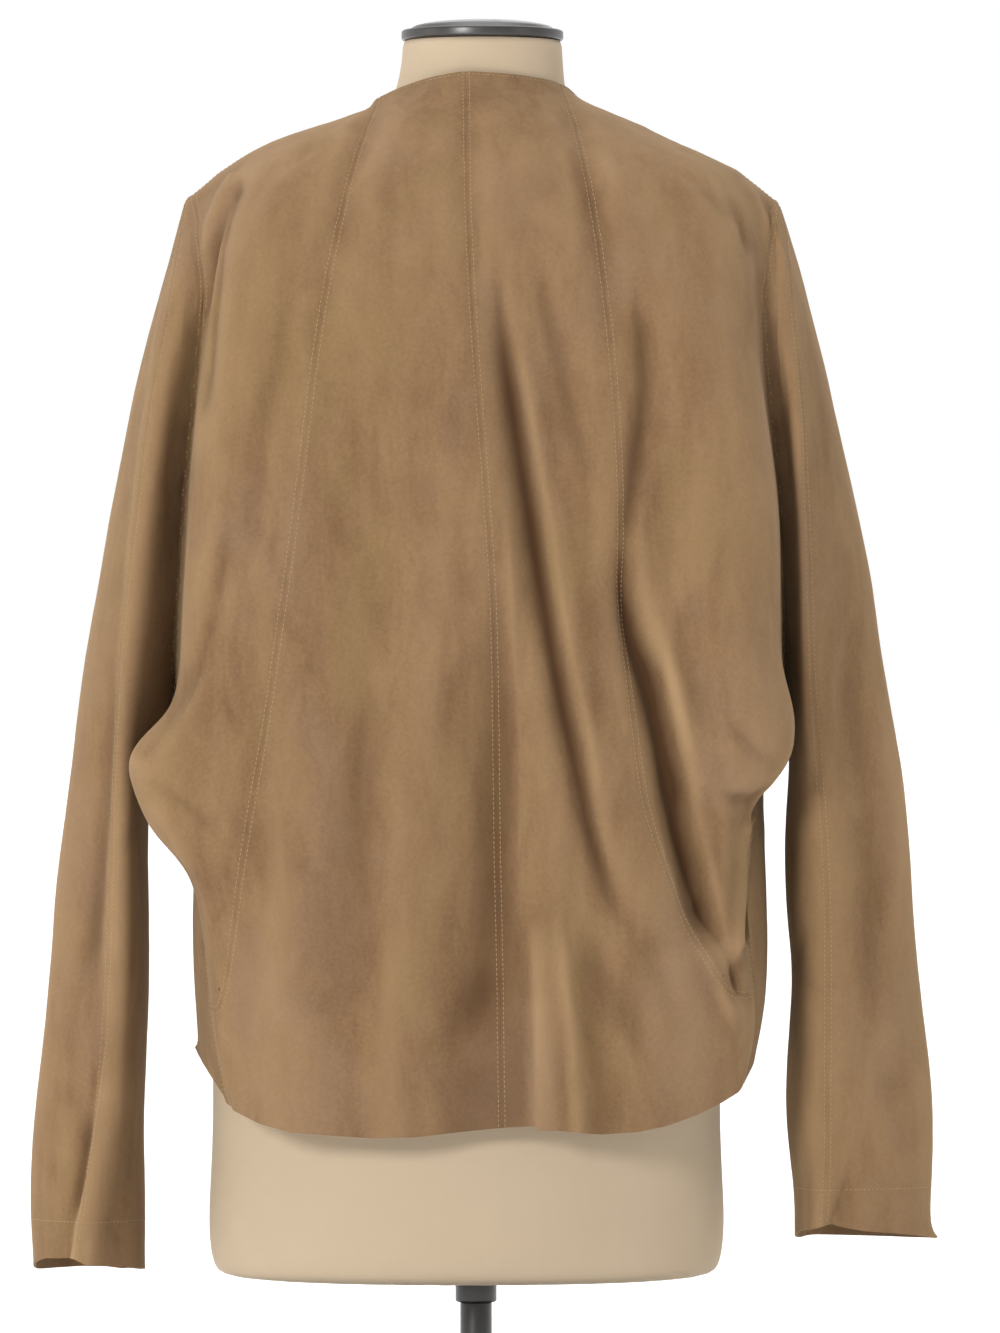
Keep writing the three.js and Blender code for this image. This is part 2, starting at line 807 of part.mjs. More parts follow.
// A panel: the cells of a grid for which keep(row, column) is true, as a closed wall.
// Its outline is drawn in by half the seam gap. weld(row) joins the last column to the first.
function panelGeometry(grid, normals, keep, weldFrom = Infinity) {
  const rows = grid.length;
  const columns = grid[0].length;
  const key = (r, c) => (c === columns - 1 && r >= weldFrom ? r * columns : r * columns + c);
  const cells = [];
  for (let r = 0; r < rows - 1; r++) {
    for (let c = 0; c < columns - 1; c++) if (keep(r, c)) cells.push([r, c]);
  }
  const place = new Map();
  const normalAt = new Map();
  const register = (r, c) => {
    const id = key(r, c);
    if (!place.has(id)) {
      place.set(id, vector(grid[r][c]));
      normalAt.set(id, normals[r][c].clone());
    }
    return id;
  };
  const quads = cells.map(([r, c]) => [
    register(r, c), register(r + 1, c), register(r + 1, c + 1), register(r, c + 1)]);
  const directed = new Map();
  for (const quad of quads) {
    quad.forEach((id, i) => {
      const next = quad[(i + 1) % 4];
      directed.set(`${id},${next}`, [id, next, quad]);
    });
  }
  const border = [...directed.values()].filter(([a, b]) => !directed.has(`${b},${a}`));
  const inward = new Map();
  for (const [a, b, quad] of border) {
    const along = place.get(b).clone().sub(place.get(a));
    const centre = quad.reduce((sum, id) => sum.add(place.get(id)), new THREE.Vector3());
    centre.multiplyScalar(0.25).sub(place.get(a));
    for (const id of [a, b]) {
      const across = normalAt.get(id).clone().cross(along).normalize();
      if (across.dot(centre) < 0) across.negate();
      inward.set(id, [...(inward.get(id) || []), across]);
    }
  }
  for (const [id, directions] of inward) {
    const sum = directions.reduce((total, d) => total.add(d), new THREE.Vector3());
    const mitre = directions.length > 1 ? 1 + directions[0].dot(directions[1]) : 1;
    const reach = SEAM_GAP / 2 / Math.max(mitre, SHARPEST_MITRE);
    place.get(id).add(sum.multiplyScalar(reach));
  }
  const ids = [...place.keys()];
  const index = new Map(ids.map((id, i) => [id, i]));
  const positions = [];
  for (const id of ids) positions.push(...place.get(id).toArray());
  for (const id of ids) {
    positions.push(...place.get(id).clone().addScaledVector(normalAt.get(id), -WALL).toArray());
  }
  const count = ids.length;
  const triangles = [];
  for (const quad of quads) {
    const [a, b, c, d] = quad.map((id) => index.get(id));
    const corner = [a, b, c, d].map((i) => new THREE.Vector3().fromArray(positions, i * 3));
    const flip = corner[0].distanceTo(corner[2]) > corner[1].distanceTo(corner[3]);
    const pair = flip ? [[a, b, d], [b, c, d]] : [[a, b, c], [a, c, d]];
    for (const [i, j, k] of pair) {
      triangles.push(i, j, k);
      triangles.push(i + count, k + count, j + count);
    }
  }
  for (const [a, b] of border) {
    const i = index.get(a);
    const j = index.get(b);
    if (place.get(a).z > place.get(b).z) triangles.push(j, i, j + count, i, i + count, j + count);
    else triangles.push(j, i, i + count, j, i + count, j + count);
  }
  const geometry = new THREE.BufferGeometry();
  geometry.setAttribute('position', new THREE.Float32BufferAttribute(positions, 3));
  geometry.setIndex(triangles);
  if (signedVolume(positions, triangles) < 0) {
    const reversed = [];
    for (let i = 0; i < triangles.length; i += 3) {
      reversed.push(triangles[i], triangles[i + 2], triangles[i + 1]);
    }
    geometry.setIndex(reversed);
  }
  geometry.computeVertexNormals();
  return geometry;
}

function signedVolume(positions, triangles) {
  let volume = 0;
  for (let i = 0; i < triangles.length; i += 3) {
    const [a, b, c] = triangles.slice(i, i + 3).map((k) => new THREE.Vector3().fromArray(positions, k * 3));
    volume += a.dot(b.cross(c)) / 6;
  }
  return volume;
}

const suede = new THREE.MeshStandardMaterial({ color: 0xa38461, roughness: 0.95, metalness: 0 });
const jersey = new THREE.MeshStandardMaterial({ color: 0xcbb89a, roughness: 0.9, metalness: 0 });
const darkMetal = new THREE.MeshStandardMaterial({ color: 0x2c2a28, roughness: 0.45, metalness: 0.8 });

const jacketOnForm = new THREE.Group();

function addMesh(parent, name, geometry, material) {
  const mesh = new THREE.Mesh(geometry, material.clone());
  mesh.name = name;
  parent.add(mesh);
  return mesh;
}

// Neighbouring panels share the normals of their common seam, so their edges lie face to face
function joinNormals(back, backNormals, front, frontNormals, sleeve, sleeveNormals) {
  const share = (...normals) => {
    const sum = normals.reduce((total, n) => total.add(n), new THREE.Vector3()).normalize();
    normals.forEach((normal) => normal.copy(sum));
  };
  for (let c = 0; c <= SIDE_STEPS - 1 + WRAP_STEPS; c++) {
    const b = CENTRE_STEPS + 1 + c;
    const f = FRONT_NECK_STEPS + c;
    share(backNormals[0][b], frontNormals[0][f]);
  }
  const lastBack = back[0].length - 1;
  const lastFront = front[0].length - 1;
  for (let r = UNDERARM_ROW; r < back.length; r++) {
    share(backNormals[r][lastBack], frontNormals[r][lastFront]);
  }
  const lastSleeve = sleeve[0].length - 1;
  const middleSleeve = lastSleeve / 2;
  for (let r = 0; r < UNDERARM_ROW - 1; r++) {
    const pairs = [
      [backNormals[r + 1][lastBack], sleeveNormals[r][0]],
      [frontNormals[r + 1][lastFront], sleeveNormals[r][lastSleeve]],
    ];
    for (const [body, arm] of pairs) if (body.dot(arm) > SHARED_TURN) share(body, arm);
  }
  share(backNormals[0][lastBack], frontNormals[0][lastFront], sleeveNormals[0][middleSleeve]);
  for (let c = 1; c < middleSleeve; c++) {
    const top = backNormals[0][lastBack];
    sleeveNormals[0][c].lerpVectors(backNormals[1][lastBack], top, c / middleSleeve).normalize();
    sleeveNormals[0][lastSleeve - c]
      .lerpVectors(frontNormals[1][lastFront], top, c / middleSleeve).normalize();
  }
  for (let r = UNDERARM_ROW - 1; r < sleeve.length; r++) {
    share(sleeveNormals[r][0], sleeveNormals[r][lastSleeve]);
  }
  for (let r = 0; r < back.length; r++) {
    backNormals[r][0].x = 0;
    backNormals[r][0].normalize();
  }
}

// A closed body of horizontal sections
function sectionBody(sections, around, roundness) {
  const positions = [];
  const triangles = [];
  sections.forEach(([z, half, backDepth, frontDepth, middle]) => {
    for (let i = 0; i < around; i++) {
      const angle = (i / around) * 2 * Math.PI;
      const cos = Math.cos(angle);
      const sin = Math.sin(angle);
      const x = Math.sign(cos) * Math.abs(cos) ** (2 / roundness) * half + middle;
      const depth = sin < 0 ? backDepth : frontDepth;
      positions.push(x, Math.sign(sin) * Math.abs(sin) ** (2 / roundness) * depth, z);
    }
  });
  const rings = sections.length;
  for (let r = 0; r < rings - 1; r++) {
    for (let i = 0; i < around; i++) {
      const a = r * around + i;
      const b = r * around + ((i + 1) % around);
      triangles.push(a, a + around, b, b, a + around, b + around);
    }
  }
  for (const r of [0, rings - 1]) {
    const [z, , , , middle] = sections[r];
    const centre = positions.length / 3;
    positions.push(middle, 0, z);
    for (let i = 0; i < around; i++) {
      const a = r * around + i;
      const b = r * around + ((i + 1) % around);
      if (r === 0) triangles.push(centre, a, b);
      else triangles.push(centre, b, a);
    }
  }
  const geometry = new THREE.BufferGeometry();
  geometry.setAttribute('position', new THREE.Float32BufferAttribute(positions, 3));
  geometry.setIndex(triangles);
  geometry.computeVertexNormals();
  return geometry;
}

// The jacket
const jacket = new THREE.Group();
jacketOnForm.add(jacket);
for (const [name, side] of Object.entries(SIDES)) {
  const curves = sideCurves(side);
  const back = backGrid(side, curves);
  const front = frontGrid(side, curves, back);
  const sleeve = sleeveGrid(side, curves, back);
  const backNormals = gridNormals(back, -side.sign);
  const frontNormals = gridNormals(front, side.sign);
  const sleeveNormals = gridNormals(sleeve, -side.sign);
  joinNormals(back, backNormals, front, frontNormals, sleeve, sleeveNormals);
  const inSide = (r, c) => c >= CENTRE_STEPS && r < SIDE_BACK_END_ROW;
  addMesh(jacket, `${name}_centre_back`, panelGeometry(back, backNormals, (r, c) => !inSide(r, c)), suede);
  addMesh(jacket, `${name}_side_back`, panelGeometry(back, backNormals, inSide), suede);
  addMesh(jacket, `${name}_front`, panelGeometry(front, frontNormals, () => true), suede);
  const half = SLEEVE_UNDER_STEPS;
  const last = sleeve[0].length - 1;
  const inOuter = (r, c) => c >= half && c < last - half;
  addMesh(jacket, `${name}_outer_sleeve`, panelGeometry(sleeve, sleeveNormals, inOuter), suede);
  addMesh(jacket, `${name}_under_sleeve`,
    panelGeometry(sleeve, sleeveNormals, (r, c) => !inOuter(r, c), UNDERARM_ROW - 1), suede);
}

// A body turned about the vertical, from a profile of radius and height
function turned(profile, segments) {
  const geometry = new THREE.LatheGeometry(profile.map(([r, z]) => new THREE.Vector2(r, z)), segments);
  geometry.rotateX(Math.PI / 2);
  return geometry;
}

// The dress form and its stand
const dressForm = new THREE.Group();
jacketOnForm.add(dressForm);
const torso = sectionBody(FORM_SECTIONS, FORM_SIDES, FORM_ROUNDNESS);
addMesh(dressForm, 'form_torso', torso, jersey);

const [neckTopZ, , , , neckX] = FORM_SECTIONS[0];
const formFootZ = FORM_SECTIONS[FORM_SECTIONS.length - 1][0];
const capProfile = [[0, 0], [CAP_RADIUS - 2, 0], [CAP_RADIUS, 1.5], [CAP_RADIUS, CAP_HEIGHT - 8],
  [CAP_RADIUS - 3, CAP_HEIGHT - 5], [CAP_RADIUS - 15, CAP_HEIGHT - 2], [0, CAP_HEIGHT]];
const neckCap = addMesh(dressForm, 'neck_cap', turned(capProfile, FORM_SIDES), darkMetal);
neckCap.position.set(neckX, 0, neckTopZ + FIT_GAP);

const collarProfile = [[0, 0], [COLLAR_RADIUS - 1, 0], [COLLAR_RADIUS, 1],
  [COLLAR_RADIUS, COLLAR_HEIGHT - 1], [COLLAR_RADIUS - 1, COLLAR_HEIGHT], [0, COLLAR_HEIGHT]];
const postCollar = addMesh(dressForm, 'post_collar', turned(collarProfile, 32), darkMetal);
const collarZ = formFootZ - FIT_GAP - COLLAR_HEIGHT;
postCollar.position.set(0, 0, collarZ);

const postFootZ = BASE_THICK + FIT_GAP;
const postHeight = collarZ - FIT_GAP - postFootZ;
const postProfile = [[0, 0], [POST_RADIUS, 0], [POST_RADIUS, postHeight], [0, postHeight]];
const post = addMesh(dressForm, 'post', turned(postProfile, 32), darkMetal);
post.position.set(0, 0, postFootZ);

const baseProfile = [[0, 0], [BASE_RADIUS - 1, 0], [BASE_RADIUS, 1], [BASE_RADIUS, BASE_THICK - 3],
  [BASE_RADIUS - 3, BASE_THICK], [0, BASE_THICK]];
addMesh(dressForm, 'round_base', turned(baseProfile, 64), darkMetal);

export default jacketOnForm;
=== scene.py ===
"""Suede jacket resting on a limbless dress form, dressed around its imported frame.

Metres, +Z up. The wearer faces +Y, so the camera in front of -Y sees the jacket's back.
"""

import math

import bmesh
import bpy
import numpy as np
from mathutils import Matrix, Vector, noise
from mathutils.bvhtree import BVHTree
from mathutils.kdtree import KDTree


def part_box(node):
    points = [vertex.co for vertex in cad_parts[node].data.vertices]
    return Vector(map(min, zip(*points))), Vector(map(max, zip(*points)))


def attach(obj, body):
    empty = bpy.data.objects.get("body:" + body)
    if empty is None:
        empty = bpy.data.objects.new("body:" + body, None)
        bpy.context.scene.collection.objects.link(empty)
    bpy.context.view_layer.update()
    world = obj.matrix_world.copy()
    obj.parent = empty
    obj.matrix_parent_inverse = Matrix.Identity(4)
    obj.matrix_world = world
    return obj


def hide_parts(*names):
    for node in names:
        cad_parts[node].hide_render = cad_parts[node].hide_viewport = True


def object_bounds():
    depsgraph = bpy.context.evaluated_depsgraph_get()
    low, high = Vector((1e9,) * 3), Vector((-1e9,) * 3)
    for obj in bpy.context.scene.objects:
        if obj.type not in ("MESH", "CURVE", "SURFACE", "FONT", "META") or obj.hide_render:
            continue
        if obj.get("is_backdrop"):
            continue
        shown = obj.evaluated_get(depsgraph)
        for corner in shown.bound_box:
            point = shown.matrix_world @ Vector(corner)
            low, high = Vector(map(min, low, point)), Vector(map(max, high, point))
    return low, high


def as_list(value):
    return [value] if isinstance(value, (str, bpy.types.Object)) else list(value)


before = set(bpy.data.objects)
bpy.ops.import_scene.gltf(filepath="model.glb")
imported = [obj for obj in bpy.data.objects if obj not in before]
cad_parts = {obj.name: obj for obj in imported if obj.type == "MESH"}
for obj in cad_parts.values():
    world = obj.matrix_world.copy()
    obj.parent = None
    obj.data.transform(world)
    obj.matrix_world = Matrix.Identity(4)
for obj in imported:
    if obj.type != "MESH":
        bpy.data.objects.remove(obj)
CAD_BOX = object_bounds()

bl_info = {
    "name": "Suede Jacket on a Dress Form",
    "version": (1, 0, 0),
    "blender": (4, 5, 0),
    "location": "View3D > Sidebar > Jacket",
    "description": "Cloth panels, stitching, dress form and stage for a suede jacket",
    "category": "Object",
}

MM = 0.001
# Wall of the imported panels, and how far an edge of the wall may be off it
WALL = 1.8 * MM
WALL_TOLERANCE = 0.015 * MM
# Rims closer than this are sewn together
SEAM_JOIN = 1.3 * MM
# Rim corners sharper than this cosine stay sharp
CORNER_COSINE = -0.75
SMOOTH_LEVELS = 3
# Passes that take small bumps out of the cloth, wobbles out of the seams, points off the tips
RELAX_PASSES = 14
SEAM_PASSES = 160
CORNER_PASSES = 30
SEAM_REACH = 16 * MM
# Edges of the small gap that each armhole leaves at the tip of the shoulder
TIP_SIDES = 8
# Where the shoulder's tip and its corner begin, and how fast they set in, as (x, z)
TIP_START, TIP_RUN = (0.155, 0.690), (0.010, 0.050)
CORNER_START, CORNER_RUN = (0.162, 0.745), (0.012, 0.020)
FOLD_GAIN = 1.4
# How sharply a crease falls off to its sides
CREASE_POWER = 1.7
RIPPLE = 0.9 * MM
# Scale across, scale up, move in x and in y, and share of each size of ripple
RIPPLES = ((16, 6, 0, 0, 1.0), (42, 20, 7, 0, 0.45), (130, 90, 0, 3, 0.12))
# Back hem: lowest rim points are below the first height, and the hem's shape fades above it
HEM_LIMIT, HEM_FADE = 0.26, 0.09
CUFF_FADE = 0.07
LEFT_CUFF_Z, RIGHT_CUFF_Z = 0.118, 0.138
# How far the hidden half of each cuff hangs lower
CUFF_FRONT_DROP = 3.0 * MM
# Half width of a seam's groove, and distance and half width of the soft swell beside it
SEAM_GROOVE, SWELL_PLACE, SWELL_WIDTH, SWELL_SHARE = 0.9 * MM, 4.5 * MM, 2.5 * MM, 0.6
# The cloth is kept off the form below this height, within this half width and reach
FORM_TOP, FORM_HALF, FORM_REACH = 0.88, 0.175, 0.03
FORM_CLEARANCE = 0.9 * MM
# Smoothing steps and weights that tell a fold from its surroundings, and the depth that counts
RELIEF_STEPS = ((5, 0.8), (16, 0.8))
RELIEF_CALM = 5
RELIEF_SPAN = 6 * MM
# How far a panel's cut edge is drawn in
EDGE_GAP = 0.04 * MM
STITCH_BATCH = 24
STITCH_LIFT = 0.12 * MM
STITCH_FLATNESS = 0.72
# Rim edges above this height belong to the neckline
NECK_Z = 0.765
CUFF_STEPS = 240
SLEEVE_REACH = 0.08
SHARP_ANGLE = math.radians(52)

# Node, width and length of its flat cut in metres, flat area in square metres, what it hangs from
PANELS = (
    ("left_centre_back", 0.175, 0.670, 0.094, "form_torso"),
    ("left_side_back", 0.200, 0.640, 0.083, "form_torso"),
    ("left_front", 0.285, 0.640, 0.146, "form_torso"),
    ("left_outer_sleeve", 0.165, 0.670, 0.085, "left_side_back_panel"),
    ("left_under_sleeve", 0.145, 0.670, 0.070, "left_side_back_panel"),
    ("right_centre_back", 0.150, 0.670, 0.072, "form_torso"),
    ("right_side_back", 0.215, 0.640, 0.091, "form_torso"),
    ("right_front", 0.285, 0.640, 0.150, "form_torso"),
    ("right_outer_sleeve", 0.190, 0.660, 0.100, "right_side_back_panel"),
    ("right_under_sleeve", 0.130, 0.660, 0.060, "right_side_back_panel"),
)
BACK_PANELS = ("left_centre_back", "left_side_back", "right_centre_back", "right_side_back")
FRONT_PANELS = ("left_front", "right_front")
LEFT_SLEEVE = ("left_outer_sleeve", "left_under_sleeve")
RIGHT_SLEEVE = ("right_outer_sleeve", "right_under_sleeve")

# Creases in millimetres, seen from behind: points along the line as (x, z), width to the left,
# width to the right, depth (a ridge is negative), fade at the upper end, fade at the lower end
BACK_CREASES = (
    # long valley right of the centre seam: a slope down to a crisp foot, then a bright ridge
    (((8, 777), (14, 735), (20, 689), (25, 661), (30.5, 625), (37, 586), (43, 546), (50, 507),
      (57, 471), (64.5, 437), (72, 400), (84, 355), (95, 322)), 12, 3, 5.6, 120, 80),
    (((22, 735), (30, 680), (39, 628), (47, 586), (53, 546), (60, 505), (67, 470), (76, 430),
      (86, 392)), 5, 9, -2.8, 110, 70),
    (((34, 762), (42, 722), (50, 690), (58, 655), (66, 620), (72, 588)), 5, 8, 1.9, 50, 50),
    # broad soft hollow below the centre, with its branch to the lower left
    (((13, 600), (11, 520), (9, 440), (8, 360), (6, 300), (2, 250)), 15, 15, 2.4, 120, 60),
    (((26, 560), (28, 480), (31, 420), (34, 350)), 5, 4, 1.0, 80, 40),
    (((8, 322), (-4, 288), (-14, 270), (-22, 256)), 6, 9, 1.1, 40, 20),
    (((0, 262), (-4, 240), (-8, 215)), 9, 10, 0.9, 25, 0),
    # narrow light ridges and the flat fold that runs out at the hem
    (((19, 620), (22, 540), (26, 470), (30, 400), (31.5, 340)), 3.5, 5, -1.8, 70, 50),
    (((31.5, 350), (35, 325), (37, 290), (37.5, 250), (38, 196)), 1.6, 11, -3.6, 40, 0),
    (((52, 356), (57, 305), (60, 270), (64, 235), (68, 196)), 5, 1.6, -2.8, 50, 0),
    (((60, 340), (66, 296), (71, 255), (76, 196)), 2.5, 12, 1.3, 60, 0),
    # deep groove beside the right seam: soft from the seam, crisp on its right
    (((97, 752), (104, 703), (106.5, 670), (102, 633), (98, 600), (95.5, 572)), 8, 3, 2.6, 60, 20),
    (((97, 610), (95.5, 572), (96.5, 546), (103.5, 513), (111, 491), (119, 457), (127, 423),
      (133, 398), (143.5, 358), (152, 332), (156, 316)), 19, 3, 13, 90, 35),
    (((112, 560), (116, 520), (126, 480), (136, 440), (144, 404)), 7, 8, -2.2, 60, 50),
    (((136, 330), (145, 308), (156, 281), (160, 268)), 2.2, 5, -2.6, 25, 15),
    (((60, 345), (74, 310), (86, 286), (98, 270), (112, 256)), 5, 7, 1.0, 40, 25),
    (((74, 392), (92, 345), (110, 310), (126, 286)), 8, 8, 1.1, 50, 30),
    (((108, 300), (124, 276), (142, 256)), 5, 7, 0.7, 20, 20),
    # gathers below the right underarm
    (((176, 410), (168, 396), (166, 372), (163, 350), (161, 320), (160, 306)), 3, 3, -4.6, 14, 18),
    (((182, 402), (173, 384), (171, 350), (168, 318)), 2.6, 5, 5.4, 12, 20),
    (((158, 322), (162, 300), (168, 284)), 3, 4, 3.4, 14, 14),
    (((186, 420), (172, 413), (160, 414), (148, 424)), 4, 4, 2.4, 8, 20),
    (((192, 436), (176, 442), (160, 458), (150, 486)), 5, 7, 1.8, 15, 40),
    # soft valleys and ridges of the left half
    (((-108, 762), (-120, 703), (-130, 648), (-138, 599), (-146, 545)), 8, 10, 1.5, 60, 60),
    (((-94, 720), (-104, 650), (-112, 580), (-118, 520)), 7, 9, -1.2, 60, 80),
    (((-72, 640), (-62, 606), (-50, 570)), 4, 6, 0.5, 30, 30),
    (((-36, 640), (-30, 600), (-26, 560)), 9, 10, 0.7, 40, 50),
    (((-6, 600), (-10, 540), (-14, 480), (-18, 420)), 7, 9, 1.2, 60, 60),
    (((-62, 520), (-70, 430), (-78, 330)), 12, 12, 1.3, 90, 90),
    (((-112, 420), (-120, 340), (-126, 260)), 10, 10, -1.4, 90, 50),
    (((-44, 470), (-48, 390), (-52, 290), (-56, 200)), 10, 10, -1.2, 90, 0),
    # tension lines from the left underarm
    (((-210, 436), (-190, 462), (-170, 500), (-156, 560), (-148, 620)), 6, 9, 2.4, 10, 80),
    (((-206, 428), (-186, 416), (-164, 398), (-150, 372)), 5, 6, 1.4, 10, 40),
    (((-202, 414), (-186, 392), (-172, 366)), 4, 5, -1.6, 10, 20),
    # the loose edge that falls from the left shoulder, and the bright fold beside it
    (((-143, 803), (-150.5, 796), (-158, 778), (-163.5, 757), (-166.5, 716), (-170, 672),
      (-173, 636)), 2.6, 7, 4.2, 12, 40),
    (((-150, 808), (-159, 792), (-167, 772), (-171, 745)), 3, 3, -2.0, 8, 20),
    (((166, 803), (174, 790), (180, 776), (185, 752)), 2.5, 3, -1.8, 8, 24),
    (((158, 792), (167, 770), (171, 742)), 4, 3, 2.2, 14, 24),
    # short marks on the shoulders and a few small ones lower down
    (((-96, 815), (-110, 806), (-124, 797)), 2.0, 2.6, -1.1, 8, 8),
    (((122, 808), (134, 800), (146, 792)), 1.6, 2.2, 0.9, 8, 8),
    (((112, 800), (126, 788), (136, 778)), 1.8, 2.4, 0.8, 8, 8),
    (((138, 796), (150, 784), (160, 768)), 2.4, 3.4, 1.2, 10, 12),
    (((-118, 812), (-132, 800), (-142, 780)), 2.4, 3.4, 1.1, 10, 14),
    (((-161, 541), (-154, 540.5), (-148, 542)), 1.3, 1.5, 0.7, 3, 3),
    (((100, 321), (114, 326), (129, 325)), 1.6, 2.6, 1.1, 6, 6),
    (((-120, 300), (-96, 288), (-78, 290)), 3.5, 4.5, 0.7, 14, 12),
)
FRONT_CREASES = (
    (((-60, 740), (-66, 620), (-74, 500), (-80, 360), (-86, 215)), 12, 10, 4.0, 80, 0),
    (((-96, 700), (-104, 560), (-106, 400), (-112, 215)), 8, 12, -3.0, 80, 0),
    (((-136, 690), (-140, 560), (-138, 420), (-140, 240)), 9, 9, 2.6, 90, 0),
    (((-40, 650), (-44, 480), (-46, 300), (-50, 215)), 7, 9, -2.0, 90, 0),
    (((58, 740), (66, 620), (78, 500), (88, 350), (92, 215)), 10, 12, 4.4, 80, 0),
    (((96, 690), (106, 540), (112, 380), (120, 215)), 9, 9, -3.0, 90, 0),
    (((132, 700), (140, 560), (142, 420), (146, 240)), 9, 9, 2.8, 90, 0),
    (((40, 620), (46, 460), (48, 320), (54, 215)), 8, 8, -2.0, 90, 0),
    (((-120, 806), (-138, 792), (-148, 772)), 2.4, 3.4, 1.2, 10, 14),
    (((124, 806), (140, 792), (152, 772)), 2.4, 3.4, 1.2, 10, 14),
)
# Creases on the back and on the front of each sleeve
LEFT_SLEEVE_BACK = (
    (((-196, 716), (-204, 650), (-212, 580), (-219, 506), (-224, 447), (-228, 375), (-229, 287),
      (-233, 240)), 4, 13, -2.2, 60, 60),
    (((-229, 270), (-236, 212), (-245, 162), (-251, 110)), 1.8, 14, -5.6, 60, 0),
    (((-238, 226), (-243, 196), (-247, 165), (-250, 140)), 8, 2, 3.4, 30, 25),
    (((-226, 520), (-232, 403), (-241, 334), (-246, 270)), 10, 9, 3.0, 80, 70),
    (((-256, 470), (-262, 380), (-268, 300)), 8, 10, -1.6, 60, 60),
    (((-222, 470), (-221, 380), (-222, 280), (-226, 190)), 5, 6, -1.4, 60, 60),
    (((-214, 400), (-220, 384), (-229, 373)), 2.4, 3, 0.6, 8, 8),
    (((-262, 236), (-252, 222), (-244, 214)), 4, 5, 0.9, 10, 10),
    (((-276, 190), (-262, 176), (-252, 168)), 5, 6, 0.8, 14, 10),
    (((-234, 150), (-226, 140), (-219, 136)), 3, 4, 1.0, 8, 8),
)
RIGHT_SLEEVE_BACK = (
    (((180, 796), (192, 745), (197, 711), (200, 650), (203, 590)), 3, 7, -2.4, 20, 60),
    (((236, 560), (240, 475), (246, 394), (248, 318), (250, 250)), 11, 13, 2.4, 80, 80),
    (((262, 500), (268, 400), (272, 300)), 8, 9, -1.8, 80, 80),
    (((240, 200), (232, 170), (222, 136)), 2, 7, 2.6, 40, 0),
    (((206, 334), (203, 318), (200, 302)), 2, 3, 1.0, 8, 10),
    (((206, 300), (212, 292), (222, 288)), 2.4, 3.4, 0.7, 6, 10),
    (((272, 246), (262, 232), (248, 224)), 4, 5, 0.7, 10, 12),
    (((284, 214), (272, 198), (262, 190)), 4, 5, 0.7, 12, 10),
    (((206, 430), (214, 420), (226, 414)), 3, 4, 1.2, 8, 12),
)
SLEEVE_FRONT = (
    (((205, 660), (214, 560), (224, 440), (232, 330), (240, 210)), 9, 11, 3.0, 90, 80),
    (((226, 600), (240, 500), (252, 380), (262, 240)), 8, 10, -2.2, 80, 80),
    (((206, 380), (218, 366), (236, 358)), 4, 5, 1.8, 10, 20),
    (((208, 350), (222, 338), (240, 334)), 4, 5, 1.6, 10, 20),
    (((262, 232), (250, 218), (236, 212)), 4, 5, 1.4, 10, 14),
)
# Height of the finished back hem over x, in millimetres
BACK_HEM = (
    (-160, 226), (-150, 220.5), (-133, 213), (-114, 208.3), (-87, 206.5), (-65, 205.2),
    (-36, 205.8), (-7, 209), (18, 211.5), (37.5, 212.6), (40.5, 210), (51, 210), (77, 207.4),
    (100, 208.5), (118, 212), (136, 218.3), (152, 225.5), (163, 231.8), (168, 236),
)
# How far the edge of each cuff rises over x, on its back and on its front
LEFT_CUFF = ((-284, 5.5), (-262, 6.5), (-250, 7.5), (-246, 5), (-232, 2), (-222, 0))
RIGHT_CUFF = ((206, 4), (214, 6), (222, 8.5), (228, 6.5), (244, 3.5), (264, 1.5), (292, -0.5))


def colour(red, green, blue):
    """A colour given as the screen shows it, 0 to 255, in linear light."""
    def linear(value):
        share = value / 255
        return share / 12.92 if share <= 0.04045 else ((share + 0.055) / 1.055) ** 2.4
    return (linear(red), linear(green), linear(blue), 1.0)


